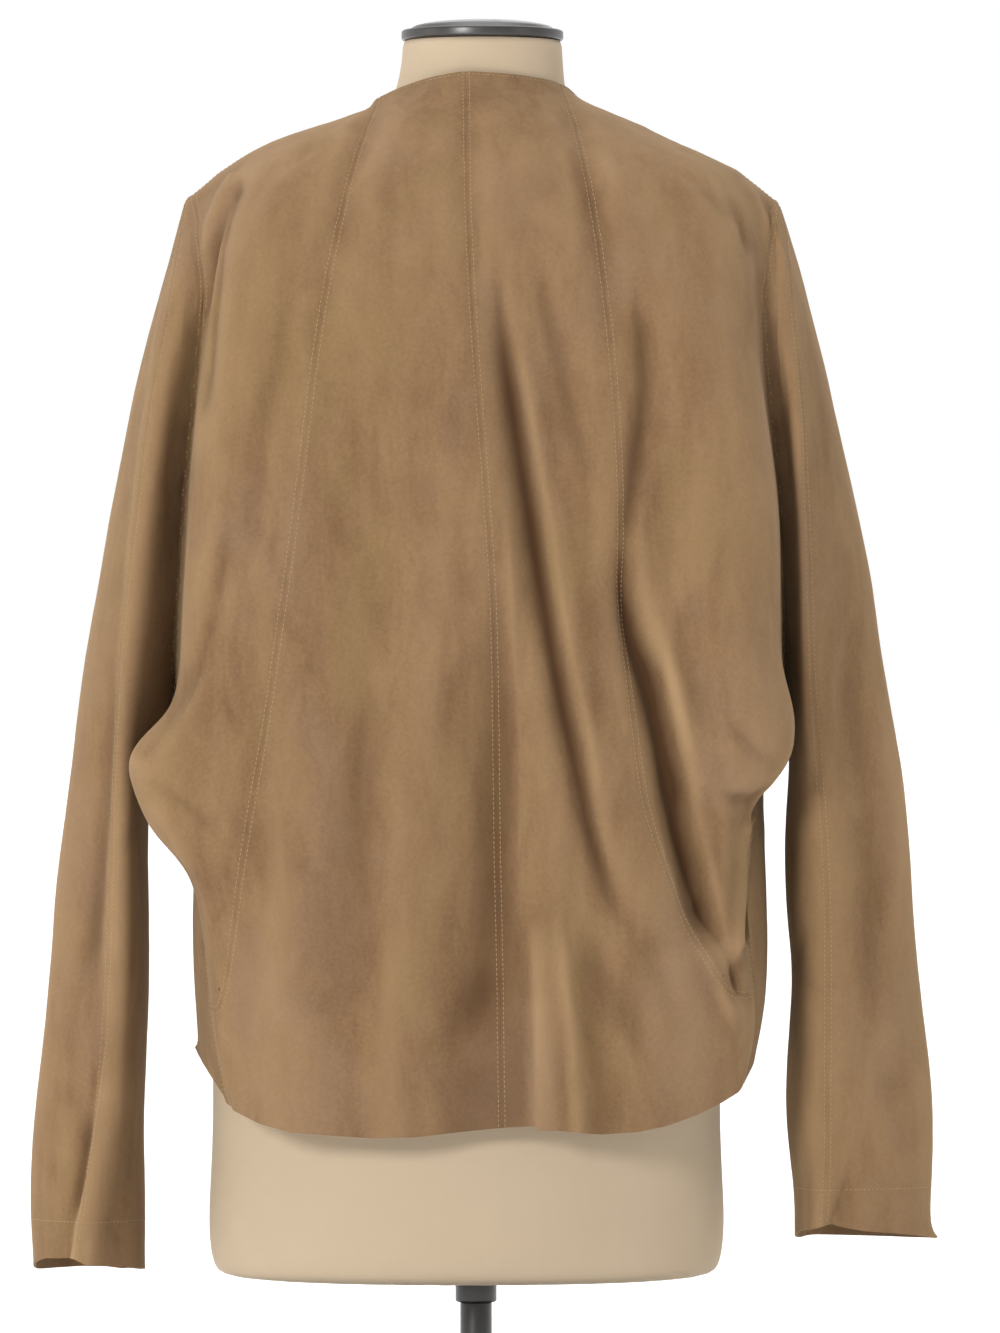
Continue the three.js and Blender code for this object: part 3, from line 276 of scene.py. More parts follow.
class JacketLook(bpy.types.PropertyGroup):
    wall: bpy.props.FloatProperty(
        name="Suede thickness", description="Thickness of the cloth", default=1.5 * MM,
        unit="LENGTH", subtype="DISTANCE")
    seam_dip: bpy.props.FloatProperty(
        name="Seam dip", description="How far a seam sinks below the panels beside it",
        default=0.25 * MM, unit="LENGTH", subtype="DISTANCE")
    stitch_pitch: bpy.props.FloatProperty(
        name="Stitch pitch", description="Distance from stitch to stitch", default=3.0 * MM,
        unit="LENGTH", subtype="DISTANCE")
    stitch_length: bpy.props.FloatProperty(
        name="Stitch length", description="Length of one stitch", default=2.2 * MM,
        unit="LENGTH", subtype="DISTANCE")
    stitch_width: bpy.props.FloatProperty(
        name="Thread width", description="Width of the thread", default=0.5 * MM,
        unit="LENGTH", subtype="DISTANCE")
    row_offset: bpy.props.FloatProperty(
        name="Row offset", description="Distance of a stitch row from its seam", default=2.1 * MM,
        unit="LENGTH", subtype="DISTANCE")
    left_cuff_row: bpy.props.FloatProperty(
        name="Left cuff row", description="Height of the stitch row round the left cuff",
        default=148 * MM, unit="LENGTH", subtype="DISTANCE")
    right_cuff_row: bpy.props.FloatProperty(
        name="Right cuff row", description="Height of the stitch row round the right cuff",
        default=168 * MM, unit="LENGTH", subtype="DISTANCE")
    suede: bpy.props.FloatVectorProperty(
        name="Suede", description="Main colour of the nap", default=colour(130, 103, 74),
        size=4, subtype="COLOR")
    suede_dark: bpy.props.FloatVectorProperty(
        name="Dark nap", description="Colour of the nap brushed dark", default=colour(103, 77, 52),
        size=4, subtype="COLOR")
    # Used for worn nap at random, and on ridges as worn nap with a painted highlight
    suede_worn_nap_and_highlight: bpy.props.FloatVectorProperty(
        name="Worn nap and highlight", description="Colour of worn nap, and of worn ridges with painted highlight", default=colour(150, 122, 90),
        size=4, subtype="COLOR")
    # Used for dark nap flecks at random, and as painted shade at the bottom of folds
    suede_nap_fleck_and_fold_shade: bpy.props.FloatVectorProperty(
        name="Dark fleck and fold shade", description="Colour of dark nap flecks, and painted shade at the bottom of folds", default=colour(70, 47, 28),
        size=4, subtype="COLOR")
    thread: bpy.props.FloatVectorProperty(
        name="Thread", description="Colour of the stitching", default=colour(158, 134, 98),
        size=4, subtype="COLOR")


class FormLook(bpy.types.PropertyGroup):
    cover: bpy.props.FloatVectorProperty(
        name="Cover", description="Colour of the knitted cover", default=colour(177, 159, 135),
        size=4, subtype="COLOR")
    cover_shade: bpy.props.FloatVectorProperty(
        name="Cover shade", description="Colour of the cover's darker yarn",
        default=colour(164, 145, 119), size=4, subtype="COLOR")
    paint: bpy.props.FloatVectorProperty(
        name="Stand paint", description="Colour of the cap and the stand",
        default=colour(40, 37, 35), size=4, subtype="COLOR")
    bevel: bpy.props.FloatProperty(
        name="Edge radius", description="Rounding of the stand's edges", default=1.2 * MM,
        unit="LENGTH", subtype="DISTANCE")


class StageLook(bpy.types.PropertyGroup):
    floor: bpy.props.FloatVectorProperty(
        name="Floor", description="Colour of the floor", default=colour(253, 253, 253),
        size=4, subtype="COLOR")
    eye_x: bpy.props.FloatProperty(
        name="Eye x", description="Camera's place to the side", default=15.1 * MM,
        unit="LENGTH", subtype="DISTANCE")
    eye_distance: bpy.props.FloatProperty(
        name="Eye distance", description="Camera's distance from the stand's axis", default=5.9,
        unit="LENGTH", subtype="DISTANCE")
    eye_height: bpy.props.FloatProperty(
        name="Eye height", description="Camera's height", default=0.496,
        unit="LENGTH", subtype="DISTANCE")
    view_height: bpy.props.FloatProperty(
        name="View height", description="Height of the view at the stand", default=0.84,
        unit="LENGTH", subtype="DISTANCE")
    key_power: bpy.props.FloatProperty(
        name="Key light", description="Power of the light above the camera", default=118.0,
        unit="POWER")
    side_power: bpy.props.FloatProperty(
        name="Side light", description="Power of each side light", default=8.0, unit="POWER")
    sky: bpy.props.FloatProperty(
        name="Far room light", description="Strength of the even light behind the jacket",
        default=1.0)
    top_sky: bpy.props.FloatProperty(
        name="Overhead light", description="Strength added to the even light overhead",
        default=3.0)
    near_sky: bpy.props.FloatProperty(
        name="Near room light", description="Strength of the even light behind the camera",
        default=0.22)


class Field:
    """A socket of a material's node tree that takes part in sums."""

    def __init__(self, shader, socket):
        self.shader = shader
        self.socket = socket

    def _math(self, operation, first, second, clamp=False):
        settings = {"operation": operation, "use_clamp": clamp}
        return self.shader.node("ShaderNodeMath", settings, {0: first, 1: second}, 0)

    def __add__(self, other):
        return self._math("ADD", self, other)

    def __sub__(self, other):
        return self._math("SUBTRACT", self, other)

    def __mul__(self, other):
        return self._math("MULTIPLY", self, other)

    __radd__ = __add__
    __rmul__ = __mul__

    def __rsub__(self, other):
        return self._math("SUBTRACT", other, self)

    def within(self):
        return self._math("ADD", self, 0.0, clamp=True)

    def power(self, exponent):
        return self._math("POWER", self, exponent)


class Shader:
    """One procedural material."""

    def __init__(self, name):
        self.material = bpy.data.materials.new(name)
        self.material.use_nodes = True
        self.tree = self.material.node_tree
        self.tree.nodes.clear()

    def node(self, kind, settings, values, output=None):
        made = self.tree.nodes.new(kind)
        for key, value in settings.items():
            if key == "stops":
                self._stops(made.color_ramp, value)
            else:
                setattr(made, key, value)
        for key, value in values.items():
            if isinstance(value, Field):
                self.tree.links.new(value.socket, made.inputs[key])
            else:
                made.inputs[key].default_value = value
        return made if output is None else Field(self, made.outputs[output])

    def _stops(self, ramp, stops):
        while len(ramp.elements) < len(stops):
            ramp.elements.new(0.5)
        for element, (place, value) in zip(ramp.elements, stops):
            element.position = place
            element.color = (value, value, value, 1)

    def place(self):
        return self.node("ShaderNodeTexCoord", {}, {}, "Object")

    def scaled(self, place, x, y, z):
        return self.node("ShaderNodeMapping", {}, {"Vector": place, "Scale": (x, y, z)}, "Vector")

    def noise(self, place, scale, detail, roughness=0.5, distortion=0.0):
        values = {"Vector": place, "Scale": scale, "Detail": detail, "Roughness": roughness,
                  "Distortion": distortion}
        return self.node("ShaderNodeTexNoise", {}, values, 0)

    def ramp(self, value, *stops):
        return self.node("ShaderNodeValToRGB", {"stops": stops}, {0: value}, "Color")

    def mix(self, factor, first, second):
        values = {0: factor, 6: first, 7: second}
        return self.node("ShaderNodeMix", {"data_type": "RGBA"}, values, 2)

    def finish(self, values, height=None, strength=0.3, depth=0.3 * MM):
        if height is not None:
            bump = {"Height": height, "Strength": strength, "Distance": depth}
            values = dict(values, Normal=self.node("ShaderNodeBump", {}, bump, "Normal"))
        surface = self.node("ShaderNodeBsdfPrincipled", {}, values, 0)
        self.node("ShaderNodeOutputMaterial", {}, {"Surface": surface})
        return self.material


def suede_material(look):
    """Brushed suede: cloudy nap, streaks, fine grain, worn ridges with painted highlight, and
    painted shade in the folds.
    """
    shader = Shader("tan_suede")
    place = shader.place()
    clouds = shader.noise(shader.scaled(place, 1.0, 1.0, 0.6), 9.0, 4.0, 0.55, 0.4)
    streaks = shader.noise(shader.scaled(place, 1.0, 1.0, 0.28), 52.0, 4.0, 0.6, 0.5)
    patches = shader.noise(shader.scaled(place, 1.0, 1.0, 0.4), 34.0, 5.0, 0.62, 0.6)
    blush = shader.noise(shader.scaled(place, 1.0, 1.0, 0.5), 13.0, 4.0, 0.6, 0.3)
    nap = shader.noise(place, 420.0, 4.0, 0.7)
    grain = shader.noise(place, 1300.0, 3.0, 0.65)
    relief = shader.node("ShaderNodeAttribute", {"attribute_name": "relief"}, {}, "Fac")
    cloudy = shader.ramp(clouds, (0.34, 0.0), (0.68, 1.0))
    streaky = shader.ramp(streaks, (0.4, 0.0), (0.68, 1.0))
    patchy = shader.ramp(patches, (0.42, 0.0), (0.66, 1.0))
    nappy = shader.ramp(nap, (0.34, 0.0), (0.66, 1.0))
    dark = (cloudy * 0.38 + streaky * 0.5 + patchy * 0.46).within()
    base = shader.mix(dark, tuple(look.suede), tuple(look.suede_dark))
    rosy = shader.ramp(blush, (0.5, 0.0), (0.66, 1.0)) * 0.5
    base = shader.mix(rosy, base, colour(122, 98, 79))
    mossy = shader.ramp(blush, (0.34, 1.0), (0.47, 0.0)) * 0.5
    base = shader.mix(mossy, base, colour(121, 98, 64))
    base = shader.mix(nappy * 0.16, base, tuple(look.suede_worn_nap_and_highlight))
    base = shader.mix((1.0 - nappy) * 0.09, base, tuple(look.suede_nap_fleck_and_fold_shade))
    # Relief above one half marks ridges and below it fold bottoms; both drive painted light in the
    # colour
    ridge_wear_and_highlight = (relief - 0.5).within() * 2.0
    valley_shade = (0.5 - relief).within() * 2.0
    # Ridges lightened toward the worn colour: partly worn nap, partly painted highlight
    base = shader.mix((ridge_wear_and_highlight * (0.65 + patchy * 0.5)).within(), base, tuple(look.suede_worn_nap_and_highlight))
    # Painted shade: points below their surroundings are darkened toward the fold colour
    base = shader.mix((valley_shade * 1.15).within(), base, tuple(look.suede_nap_fleck_and_fold_shade))
    rough = 0.86 + nappy * 0.1
    height = nap * 0.55 + grain * 0.45
    values = {
        "Base Color": base, "Roughness": rough.within(), "Specular IOR Level": 0.1,
        "Sheen Weight": 0.2, "Sheen Roughness": 0.55, "Sheen Tint": colour(205, 184, 150),
    }
    return shader.finish(values, height, 0.5, 0.35 * MM)


def thread_material(look):
    shader = Shader("tan_thread")
    place = shader.place()
    twist = shader.noise(place, 900.0, 2.0)
    base = shader.mix(twist * 0.3, tuple(look.thread), tuple(look.suede))
    values = {"Base Color": base, "Roughness": 0.7, "Specular IOR Level": 0.25}
    return shader.finish(values, twist, 0.3, 0.1 * MM)


def cover_material(look):
    """Cream knitted cover with fine ribs and slight wear."""
    shader = Shader("cream_cover")
    place = shader.place()
    rib_settings = {"wave_type": "BANDS", "bands_direction": "X", "wave_profile": "SIN"}
    row_settings = {"wave_type": "BANDS", "bands_direction": "Z", "wave_profile": "SIN"}
    rib = shader.node("ShaderNodeTexWave", rib_settings,
                      {"Vector": place, "Scale": 330.0, "Distortion": 0.6, "Detail": 1.0}, 1)
    row = shader.node("ShaderNodeTexWave", row_settings,
                      {"Vector": place, "Scale": 260.0, "Distortion": 0.6, "Detail": 1.0}, 1)
    soil = shader.ramp(shader.noise(place, 7.0, 4.0, 0.55), (0.4, 0.0), (0.75, 1.0))
    fluff = shader.noise(place, 420.0, 3.0, 0.6)
    knit = rib * row
    base = shader.mix((soil * 0.4 + knit * 0.25).within(), tuple(look.cover),
                      tuple(look.cover_shade))
    values = {
        "Base Color": base, "Roughness": (0.82 + fluff * 0.12).within(),
        "Specular IOR Level": 0.2, "Sheen Weight": 0.15, "Sheen Roughness": 0.5,
        "Sheen Tint": colour(240, 232, 214),
    }
    return shader.finish(values, knit * 0.6 + fluff * 0.4, 0.3, 0.25 * MM)


def paint_material(look):
    """Satin black paint with a fine speckle and faint rubbed marks."""
    shader = Shader("black_paint")
    place = shader.place()
    speckle = shader.noise(place, 900.0, 2.0)
    rubbed = shader.ramp(shader.noise(place, 14.0, 6.0, 0.7), (0.52, 0.0), (0.7, 1.0))
    base = shader.mix(rubbed * 0.35, tuple(look.paint), colour(70, 66, 62))
    rough = (0.34 + rubbed * 0.2 + speckle * 0.08).within()
    values = {"Base Color": base, "Roughness": rough, "Coat Weight": 0.25,
              "Coat Roughness": 0.25}
    return shader.finish(values, speckle, 0.12, 0.08 * MM)


def link(name, mesh):
    piece = bpy.data.objects.new(name, mesh)
    bpy.context.scene.collection.objects.link(piece)
    return piece


def finish_piece(piece, material, nodes=()):
    """Gives a piece its finish and its body, and hides the nodes it stands in for."""
    piece.data.materials.clear()
    piece.data.materials.append(material)
    piece.data.shade_smooth()
    piece.data.set_sharp_from_angle(angle=SHARP_ANGLE)
    if nodes:
        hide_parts(*nodes)
    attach(piece, "root")
    return piece


def stored_material(name, maker, look):
    """The material of that name, made the first time it is asked for."""
    return bpy.data.materials.get(name) or maker(look)


def sleeve_middle(name, height):
    """Where the middle of a sleeve is at a height."""
    side = -1 if name.startswith("left") else 1
    return Vector((side * (0.192 + 0.058 * (0.770 - height) / 0.630), 0.004, height))


def connected_faces(mesh):
    """The faces of a bmesh in groups that hang together."""
    seen = set()
    for start in mesh.faces:
        if start in seen:
            continue
        seen.add(start)
        group, open_faces = [], [start]
        while open_faces:
            face = open_faces.pop()
            group.append(face)
            for edge in face.edges:
                for other in edge.link_faces:
                    if other not in seen:
                        seen.add(other)
                        open_faces.append(other)
        yield group


def outer_layer(name):
    """The outer face of a panel's wall as a bmesh of quads."""
    wall = bmesh.new()
    wall.from_mesh(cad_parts[name].data)
    bmesh.ops.remove_doubles(wall, verts=wall.verts, dist=0.01 * MM)
    rim = {face for edge in wall.edges if abs(edge.calc_length() - WALL) < WALL_TOLERANCE
           for face in edge.link_faces}
    bmesh.ops.delete(wall, geom=list(rim), context="FACES")
    wall.normal_update()

    def outwardness(group):
        total = 0.0
        for face in group:
            point = face.calc_center_median()
            middle = Vector((0, 0, point.z))
            if "sleeve" in name:
                middle = sleeve_middle(name, point.z)
            total += (point - middle).dot(face.normal) * face.calc_area()
        return total

    groups = sorted(connected_faces(wall), key=outwardness)
    inner = [face for group in groups[:-1] for face in group]
    bmesh.ops.delete(wall, geom=inner, context="FACES")
    bmesh.ops.join_triangles(wall, faces=wall.faces, angle_face_threshold=math.pi,
                             angle_shape_threshold=math.pi)
    return wall


def joined_layers():
    """All panels' outer faces joined at their seams, with the panel's number on each face."""
    shell = bmesh.new()
    number = shell.faces.layers.int.new("panel")
    for index, (name, *_) in enumerate(PANELS):
        layer = outer_layer(name)
        part = bpy.data.meshes.new(name + "_layer")
        layer.to_mesh(part)
        layer.free()
        count = len(shell.faces)
        shell.from_mesh(part)
        bpy.data.meshes.remove(part)
        shell.faces.ensure_lookup_table()
        for face in shell.faces[count:]:
            face[number] = index
    rims = [vertex for vertex in shell.verts if vertex.is_boundary]
    bmesh.ops.remove_doubles(shell, verts=rims, dist=SEAM_JOIN)
    open_edges = [edge for edge in shell.edges if edge.is_boundary]
    filled = bmesh.ops.holes_fill(shell, edges=open_edges, sides=TIP_SIDES)["faces"]
    for face in filled:
        face[number] = max(other[number] for edge in face.edges for other in edge.link_faces
                           if other not in filled)
    crease = shell.verts.layers.float.new("crease_vert")
    for vertex in shell.verts:
        rim_edges = [edge for edge in vertex.link_edges if edge.is_boundary]
        if len(rim_edges) == 2:
            ways = [(edge.other_vert(vertex).co - vertex.co).normalized() for edge in rim_edges]
            if ways[0].dot(ways[1]) > CORNER_COSINE:
                vertex[crease] = 1.0
    return shell


def smooth_shell():
    """The joined panels as one fine, smooth mesh."""
    shell = joined_layers()
    mesh = bpy.data.meshes.new("jacket_shell")
    shell.to_mesh(mesh)
    shell.free()
    rough = link("jacket_shell", mesh)
    finer = rough.modifiers.new("finer", "SUBSURF")
    finer.levels = finer.render_levels = SMOOTH_LEVELS
    finer.boundary_smooth = "PRESERVE_CORNERS"
    graph = bpy.context.evaluated_depsgraph_get()
    fine = bpy.data.meshes.new_from_object(rough.evaluated_get(graph))
    bpy.data.objects.remove(rough)
    bpy.data.meshes.remove(mesh)
    return fine


class Shell:
    """The fine mesh of the whole jacket as arrays of points, faces and panel numbers."""

    def __init__(self, mesh):
        self.mesh = mesh
        self.points = np.zeros(len(mesh.vertices) * 3)
        mesh.vertices.foreach_get("co", self.points)
        self.points = self.points.reshape(-1, 3)
        self.panel = np.zeros(len(mesh.polygons), np.int32)
        mesh.attributes["panel"].data.foreach_get("value", self.panel)
        corners = np.zeros(len(mesh.loops), np.int32)
        mesh.loops.foreach_get("vertex_index", corners)
        self.faces = corners.reshape(-1, 4)
        self.edges = np.zeros(len(mesh.edges) * 2, np.int32)
        mesh.edges.foreach_get("vertices", self.edges)
        self.edges = self.edges.reshape(-1, 2)
        self.degree = np.bincount(self.edges.ravel(), minlength=len(self.points))
        self.sort_edges()

    def sort_edges(self):
        """Finds the seam between each two panels, and the open edges."""
        links = {}
        for face, corners in enumerate(self.faces):
            for i in range(4):
                a, b = int(corners[i]), int(corners[(i + 1) % 4])
                links.setdefault((min(a, b), max(a, b)), []).append(int(self.panel[face]))
        self.seams, self.rims = {}, []
        for edge, owners in links.items():
            if len(owners) == 1:
                self.rims.append((edge, owners[0]))
            elif owners[0] != owners[1]:
                self.seams.setdefault(frozenset(owners), []).append(edge)

    def normals(self):
        a, b, c, d = (self.points[self.faces[:, i]] for i in range(4))
        face = np.cross(c - a, d - b)
        total = np.zeros_like(self.points)
        for i in range(4):
            np.add.at(total, self.faces[:, i], face)
        return total / np.maximum(np.linalg.norm(total, axis=1), 1e-12)[:, None]

    def belongs(self, names):
        """Which points are on one of these panels."""
        wanted = [i for i, (name, *_) in enumerate(PANELS) if name in names]
        mask = np.zeros(len(self.points), bool)
        mask[self.faces[np.isin(self.panel, wanted)].ravel()] = True
        return mask

    def neighbour_mean(self, values):
        total = np.zeros_like(values)
        np.add.at(total, self.edges[:, 0], values[self.edges[:, 1]])
        np.add.at(total, self.edges[:, 1], values[self.edges[:, 0]])
        shape = (-1,) + (1,) * (values.ndim - 1)
        return total / self.degree.reshape(shape)


def eased(share):
    share = np.clip(share, 0, 1)
    return share * share * (3 - 2 * share)


def shoulder_share(shell, start, run):
    """How much each point belongs to the tip of a shoulder, from 0 to 1."""
    x, z = np.abs(shell.points[:, 0]), shell.points[:, 2]
    return eased((x - start[0]) / run[0]) * eased((z - start[1]) / run[1])


def even_out(shell):
    """Takes the cage's small bumps out of the fine mesh and straightens its seams."""
    fixed = np.zeros(len(shell.points), bool)
    fixed[[i for edge, _ in shell.rims for i in edge]] = True
    for _ in range(RELAX_PASSES):
        calm = shell.neighbour_mean(shell.points)
        shell.points = np.where(fixed[:, None], shell.points, (shell.points + calm) / 2)
    links = {}
    for edges in shell.seams.values():
        for a, b in edges:
            links.setdefault(a, []).append(b)
            links.setdefault(b, []).append(a)
    chain = np.array([i for i, ends in links.items() if len(ends) == 2 and not fixed[i]])
    ends = np.array([links[i] for i in chain])
    seams = shell.points.copy()
    for _ in range(SEAM_PASSES):
        seams[chain] = seams[chain] / 2 + (seams[ends[:, 0]] + seams[ends[:, 1]]) / 4
    tip = shoulder_share(shell, TIP_START, TIP_RUN)
    corner = shoulder_share(shell, CORNER_START, CORNER_RUN)[:, None]
    moves = (seams - shell.points) * (1 - tip)[:, None]
    names = list(links)
    tree = KDTree(len(names))
    for place, i in enumerate(names):
        tree.insert(shell.points[i], place)
    tree.balance()
    for i, point in enumerate(shell.points.copy()):
        _, place, away = tree.find(point)
        if away < SEAM_REACH and not fixed[i]:
            shell.points[i] = point + moves[names[place]] * eased(1 - away / SEAM_REACH)
    for _ in range(CORNER_PASSES):
        calm = shell.neighbour_mean(shell.points)
        shell.points += (calm - shell.points) * corner


def crease_depth(points, creases):
    """Depth of a table of creases at points seen from behind, in metres."""
    x, z = points[:, 0] / MM, points[:, 2] / MM
    depth = np.zeros(len(points))
    for line, left, right, deep, fade_top, fade_foot in creases:
        line = np.array(line, float)
        reach = 3 * max(left, right)
        low, high = line.min(0) - reach, line.max(0) + reach
        near = np.nonzero((x > low[0]) & (x < high[0]) & (z > low[1]) & (z < high[1]))[0]
        if not len(near):
            continue
        steps = np.linalg.norm(np.diff(line, axis=0), axis=1)
        starts = np.concatenate([[0], np.cumsum(steps)])
        best = np.full(len(near), 1e9)
        along, offset = np.zeros(len(near)), np.zeros(len(near))
        for i, step in enumerate(steps):
            way = (line[i + 1] - line[i]) / step
            dx, dz = x[near] - line[i, 0], z[near] - line[i, 1]
            t = np.clip(dx * way[0] + dz * way[1], 0, step)
            away = np.hypot(dx - t * way[0], dz - t * way[1])
            side = np.sign(dx * -way[1] + dz * way[0])
            closer = away < best
            best = np.where(closer, away, best)
            along = np.where(closer, starts[i] + t, along)
            offset = np.where(closer, away * side, offset)
        # the table's lines run downwards, so the viewer's left is on the negative side
        width = np.where(offset < 0, left, right)
        amount = deep * np.exp(-((best / width) ** CREASE_POWER))
        if fade_top:
            amount = amount * eased(along / fade_top)
        if fade_foot:
            amount = amount * eased((starts[-1] - along) / fade_foot)
        depth[near] += amount
    return depth * MM


def ripple(x, y, z):
    """Unevenness of the cloth at a point, about -1 to 1."""
    return sum(share * noise.noise(Vector((x * across + move_x, y * across + move_y, z * up)))
               for across, up, move_x, move_y, share in RIPPLES)


def fold_shell(shell):
    """Presses the creases and a slight ripple into the shell."""
    normals = shell.normals()
    depth = np.zeros(len(shell.points))
    facing_back = eased((-normals[:, 1] + 0.1) / 0.5)
    facing_front = eased((normals[:, 1] + 0.1) / 0.5)
    mirrored = shell.points * np.array([-1.0, 1, 1])
    for names, creases, facing, points in (
        (BACK_PANELS, BACK_CREASES, facing_back, shell.points),
        (FRONT_PANELS, FRONT_CREASES, facing_front, shell.points),
        (LEFT_SLEEVE, LEFT_SLEEVE_BACK, facing_back, shell.points),
        (RIGHT_SLEEVE, RIGHT_SLEEVE_BACK, facing_back, shell.points),
        (LEFT_SLEEVE, SLEEVE_FRONT, facing_front, mirrored),
        (RIGHT_SLEEVE, SLEEVE_FRONT, facing_front, shell.points),
    ):
        mask = shell.belongs(names)
        depth[mask] += FOLD_GAIN * crease_depth(points[mask], creases) * facing[mask]
    depth += np.array([ripple(*point) for point in shell.points]) * RIPPLE
    shell.points -= normals * depth[:, None]


def set_edges(shell):
    """Gives the hem and the cuffs the outline of their cut edges."""
    x, y, z = (shell.points[:, i].copy() for i in range(3))
    back = shell.belongs(BACK_PANELS)
    hem_x, hem_z = (np.array(column) * MM for column in zip(*BACK_HEM))
    rim_points = np.unique([i for edge, owner in shell.rims for i in edge
                            if PANELS[owner][0] in BACK_PANELS])
    rim_points = rim_points[shell.points[rim_points, 2] < HEM_LIMIT]
    order = rim_points[np.argsort(x[rim_points])]
    now = np.interp(x, x[order], z[order])
    wanted = np.interp(x, hem_x, hem_z)
    share = eased(1 - (z - now) / HEM_FADE) * eased((-0.02 - y) / 0.05)
    shell.points[back, 2] += ((wanted - now) * share)[back]
    for names, table, lowest in ((LEFT_SLEEVE, LEFT_CUFF, LEFT_CUFF_Z),
                                 (RIGHT_SLEEVE, RIGHT_CUFF, RIGHT_CUFF_Z)):
        mask = shell.belongs(names)
        table_x, table_z = (np.array(column) * MM for column in zip(*table))
        rise = np.interp(x, table_x, table_z)
        on_back = eased((0.02 - y) / 0.04)
        rise = rise * on_back - CUFF_FRONT_DROP * (1 - on_back)
        shell.points[mask, 2] += (rise * eased(1 - (z - lowest) / CUFF_FADE))[mask]


def sink_seams(shell, dip):
    """Lets every seam sink a little between its panels."""
    seam_points = sorted({i for edges in shell.seams.values() for edge in edges for i in edge})
    tree = KDTree(len(seam_points))
    for place, i in enumerate(seam_points):
        tree.insert(shell.points[i], place)
    tree.balance()
    away = np.array([tree.find(point)[2] for point in shell.points])
    groove = np.exp(-((away / SEAM_GROOVE) ** 2))
    swell = np.exp(-(((away - SWELL_PLACE) / SWELL_WIDTH) ** 2))
    shell.points -= shell.normals() * (dip * groove - SWELL_SHARE * dip * swell)[:, None]


def keep_clear(shell, clearance):
    """Pushes the cloth out of the dress form."""
    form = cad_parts["form_torso"].data
    corners = [vertex.co.copy() for vertex in form.vertices]
    tree = BVHTree.FromPolygons(corners, [tuple(face.vertices) for face in form.polygons])
    for i, point in enumerate(shell.points):
        if point[2] > FORM_TOP or abs(point[0]) > FORM_HALF:
            continue
        place, normal, _, _ = tree.find_nearest(Vector(point), FORM_REACH)
        if place is None:
            continue
        height = (Vector(point) - place).dot(normal)
        if height < clearance:
            shell.points[i] = np.array(place + normal * clearance)


def relief_of(shell):
    """How far each point stands above or below its surroundings, from 0 to 1."""
    normals = shell.normals()
    level = np.zeros(len(shell.points))
    around = shell.points
    for steps, weight in RELIEF_STEPS:
        for _ in range(steps):
            around = shell.neighbour_mean(around)
        level += weight * ((shell.points - around) * normals).sum(axis=1)
    for _ in range(RELIEF_CALM):
        level = shell.neighbour_mean(level)
    return np.clip(0.5 + level / RELIEF_SPAN, 0, 1)


def make_shell(look):
    shell = Shell(smooth_shell())
    even_out(shell)
    fold_shell(shell)
    set_edges(shell)
    shell.relief = relief_of(shell)
    sink_seams(shell, look.seam_dip)
    keep_clear(shell, look.wall + FORM_CLEARANCE)
    shell.mesh.vertices.foreach_set("co", shell.points.ravel())
    # The relief is kept for the suede's colour, which paints shade into the folds and highlight
    # onto the ridges
    attribute = shell.mesh.attributes.new("relief", "FLOAT", "POINT")
    attribute.data.foreach_set("value", shell.relief.astype(np.float32))
    shell.mesh.update()
    return shell


def cut_panel(shell, index):
    """One panel of the shell, its edges drawn in by a hair."""
    panel = bmesh.new()
    panel.from_mesh(shell.mesh)
    number = panel.faces.layers.int["panel"]
    others = [face for face in panel.faces if face[number] != index]
    bmesh.ops.delete(panel, geom=others, context="FACES")
    moves = []
    for vertex in panel.verts:
        if vertex.is_boundary:
            inside = [edge.other_vert(vertex).co for edge in vertex.link_edges
                      if not edge.is_boundary]
            if inside:
                way = sum(inside, Vector()) / len(inside) - vertex.co
                moves.append((vertex, way.normalized() * EDGE_GAP))
    for vertex, move in moves:
        vertex.co += move
    mesh = bpy.data.meshes.new(PANELS[index][0] + "_panel")
    panel.to_mesh(mesh)
    panel.free()
    return mesh


def thickened(mesh, wall):
    """The same sheet with a wall behind it, its cut edges left crisp."""
    sheet = link(mesh.name + "_sheet", mesh)
    solid = sheet.modifiers.new("wall", "SOLIDIFY")
    solid.thickness = wall
    solid.offset = -1
    graph = bpy.context.evaluated_depsgraph_get()
    made = bpy.data.meshes.new_from_object(sheet.evaluated_get(graph))
    name = mesh.name
    bpy.data.objects.remove(sheet)
    bpy.data.meshes.remove(mesh)
    made.name = name
    return made


def ordered_lines(edges):
    """Edges joined end to end, as lists of point numbers."""
    links = {}
    for a, b in edges:
        links.setdefault(a, []).append(b)
        links.setdefault(b, []).append(a)
    unused = {tuple(sorted(edge)) for edge in edges}
    ends = [point for point, others in links.items() if len(others) != 2]
    lines = []
    for start in ends + list(links):
        for second in links[start]:
            if tuple(sorted((start, second))) not in unused:
                continue
            line = [start]
            here, following = start, second
            while following is not None:
                unused.discard(tuple(sorted((here, following))))
                line.append(following)
                here = following
                following = next((other for other in links[here]
                                  if tuple(sorted((here, other))) in unused), None)
                if len(links[here]) != 2:
                    break
            lines.append(line)
    return lines


def evenly_along(points, pitch):
    """Points a pitch apart along a line, with the way on at each."""
    steps = np.linalg.norm(np.diff(points, axis=0), axis=1)
    starts = np.concatenate([[0], np.cumsum(steps)])
    count = int(starts[-1] / pitch)
    places = (np.arange(count) + 0.5) * starts[-1] / max(count, 1)
    smooth = np.stack([np.interp(places, starts, points[:, i]) for i in range(3)], axis=1)
    ahead = np.stack([np.interp(places + pitch, starts, points[:, i]) for i in range(3)], axis=1)
    behind = np.stack([np.interp(places - pitch, starts, points[:, i]) for i in range(3)], axis=1)
    ways = ahead - behind
    return smooth, ways / np.maximum(np.linalg.norm(ways, axis=1), 1e-9)[:, None]


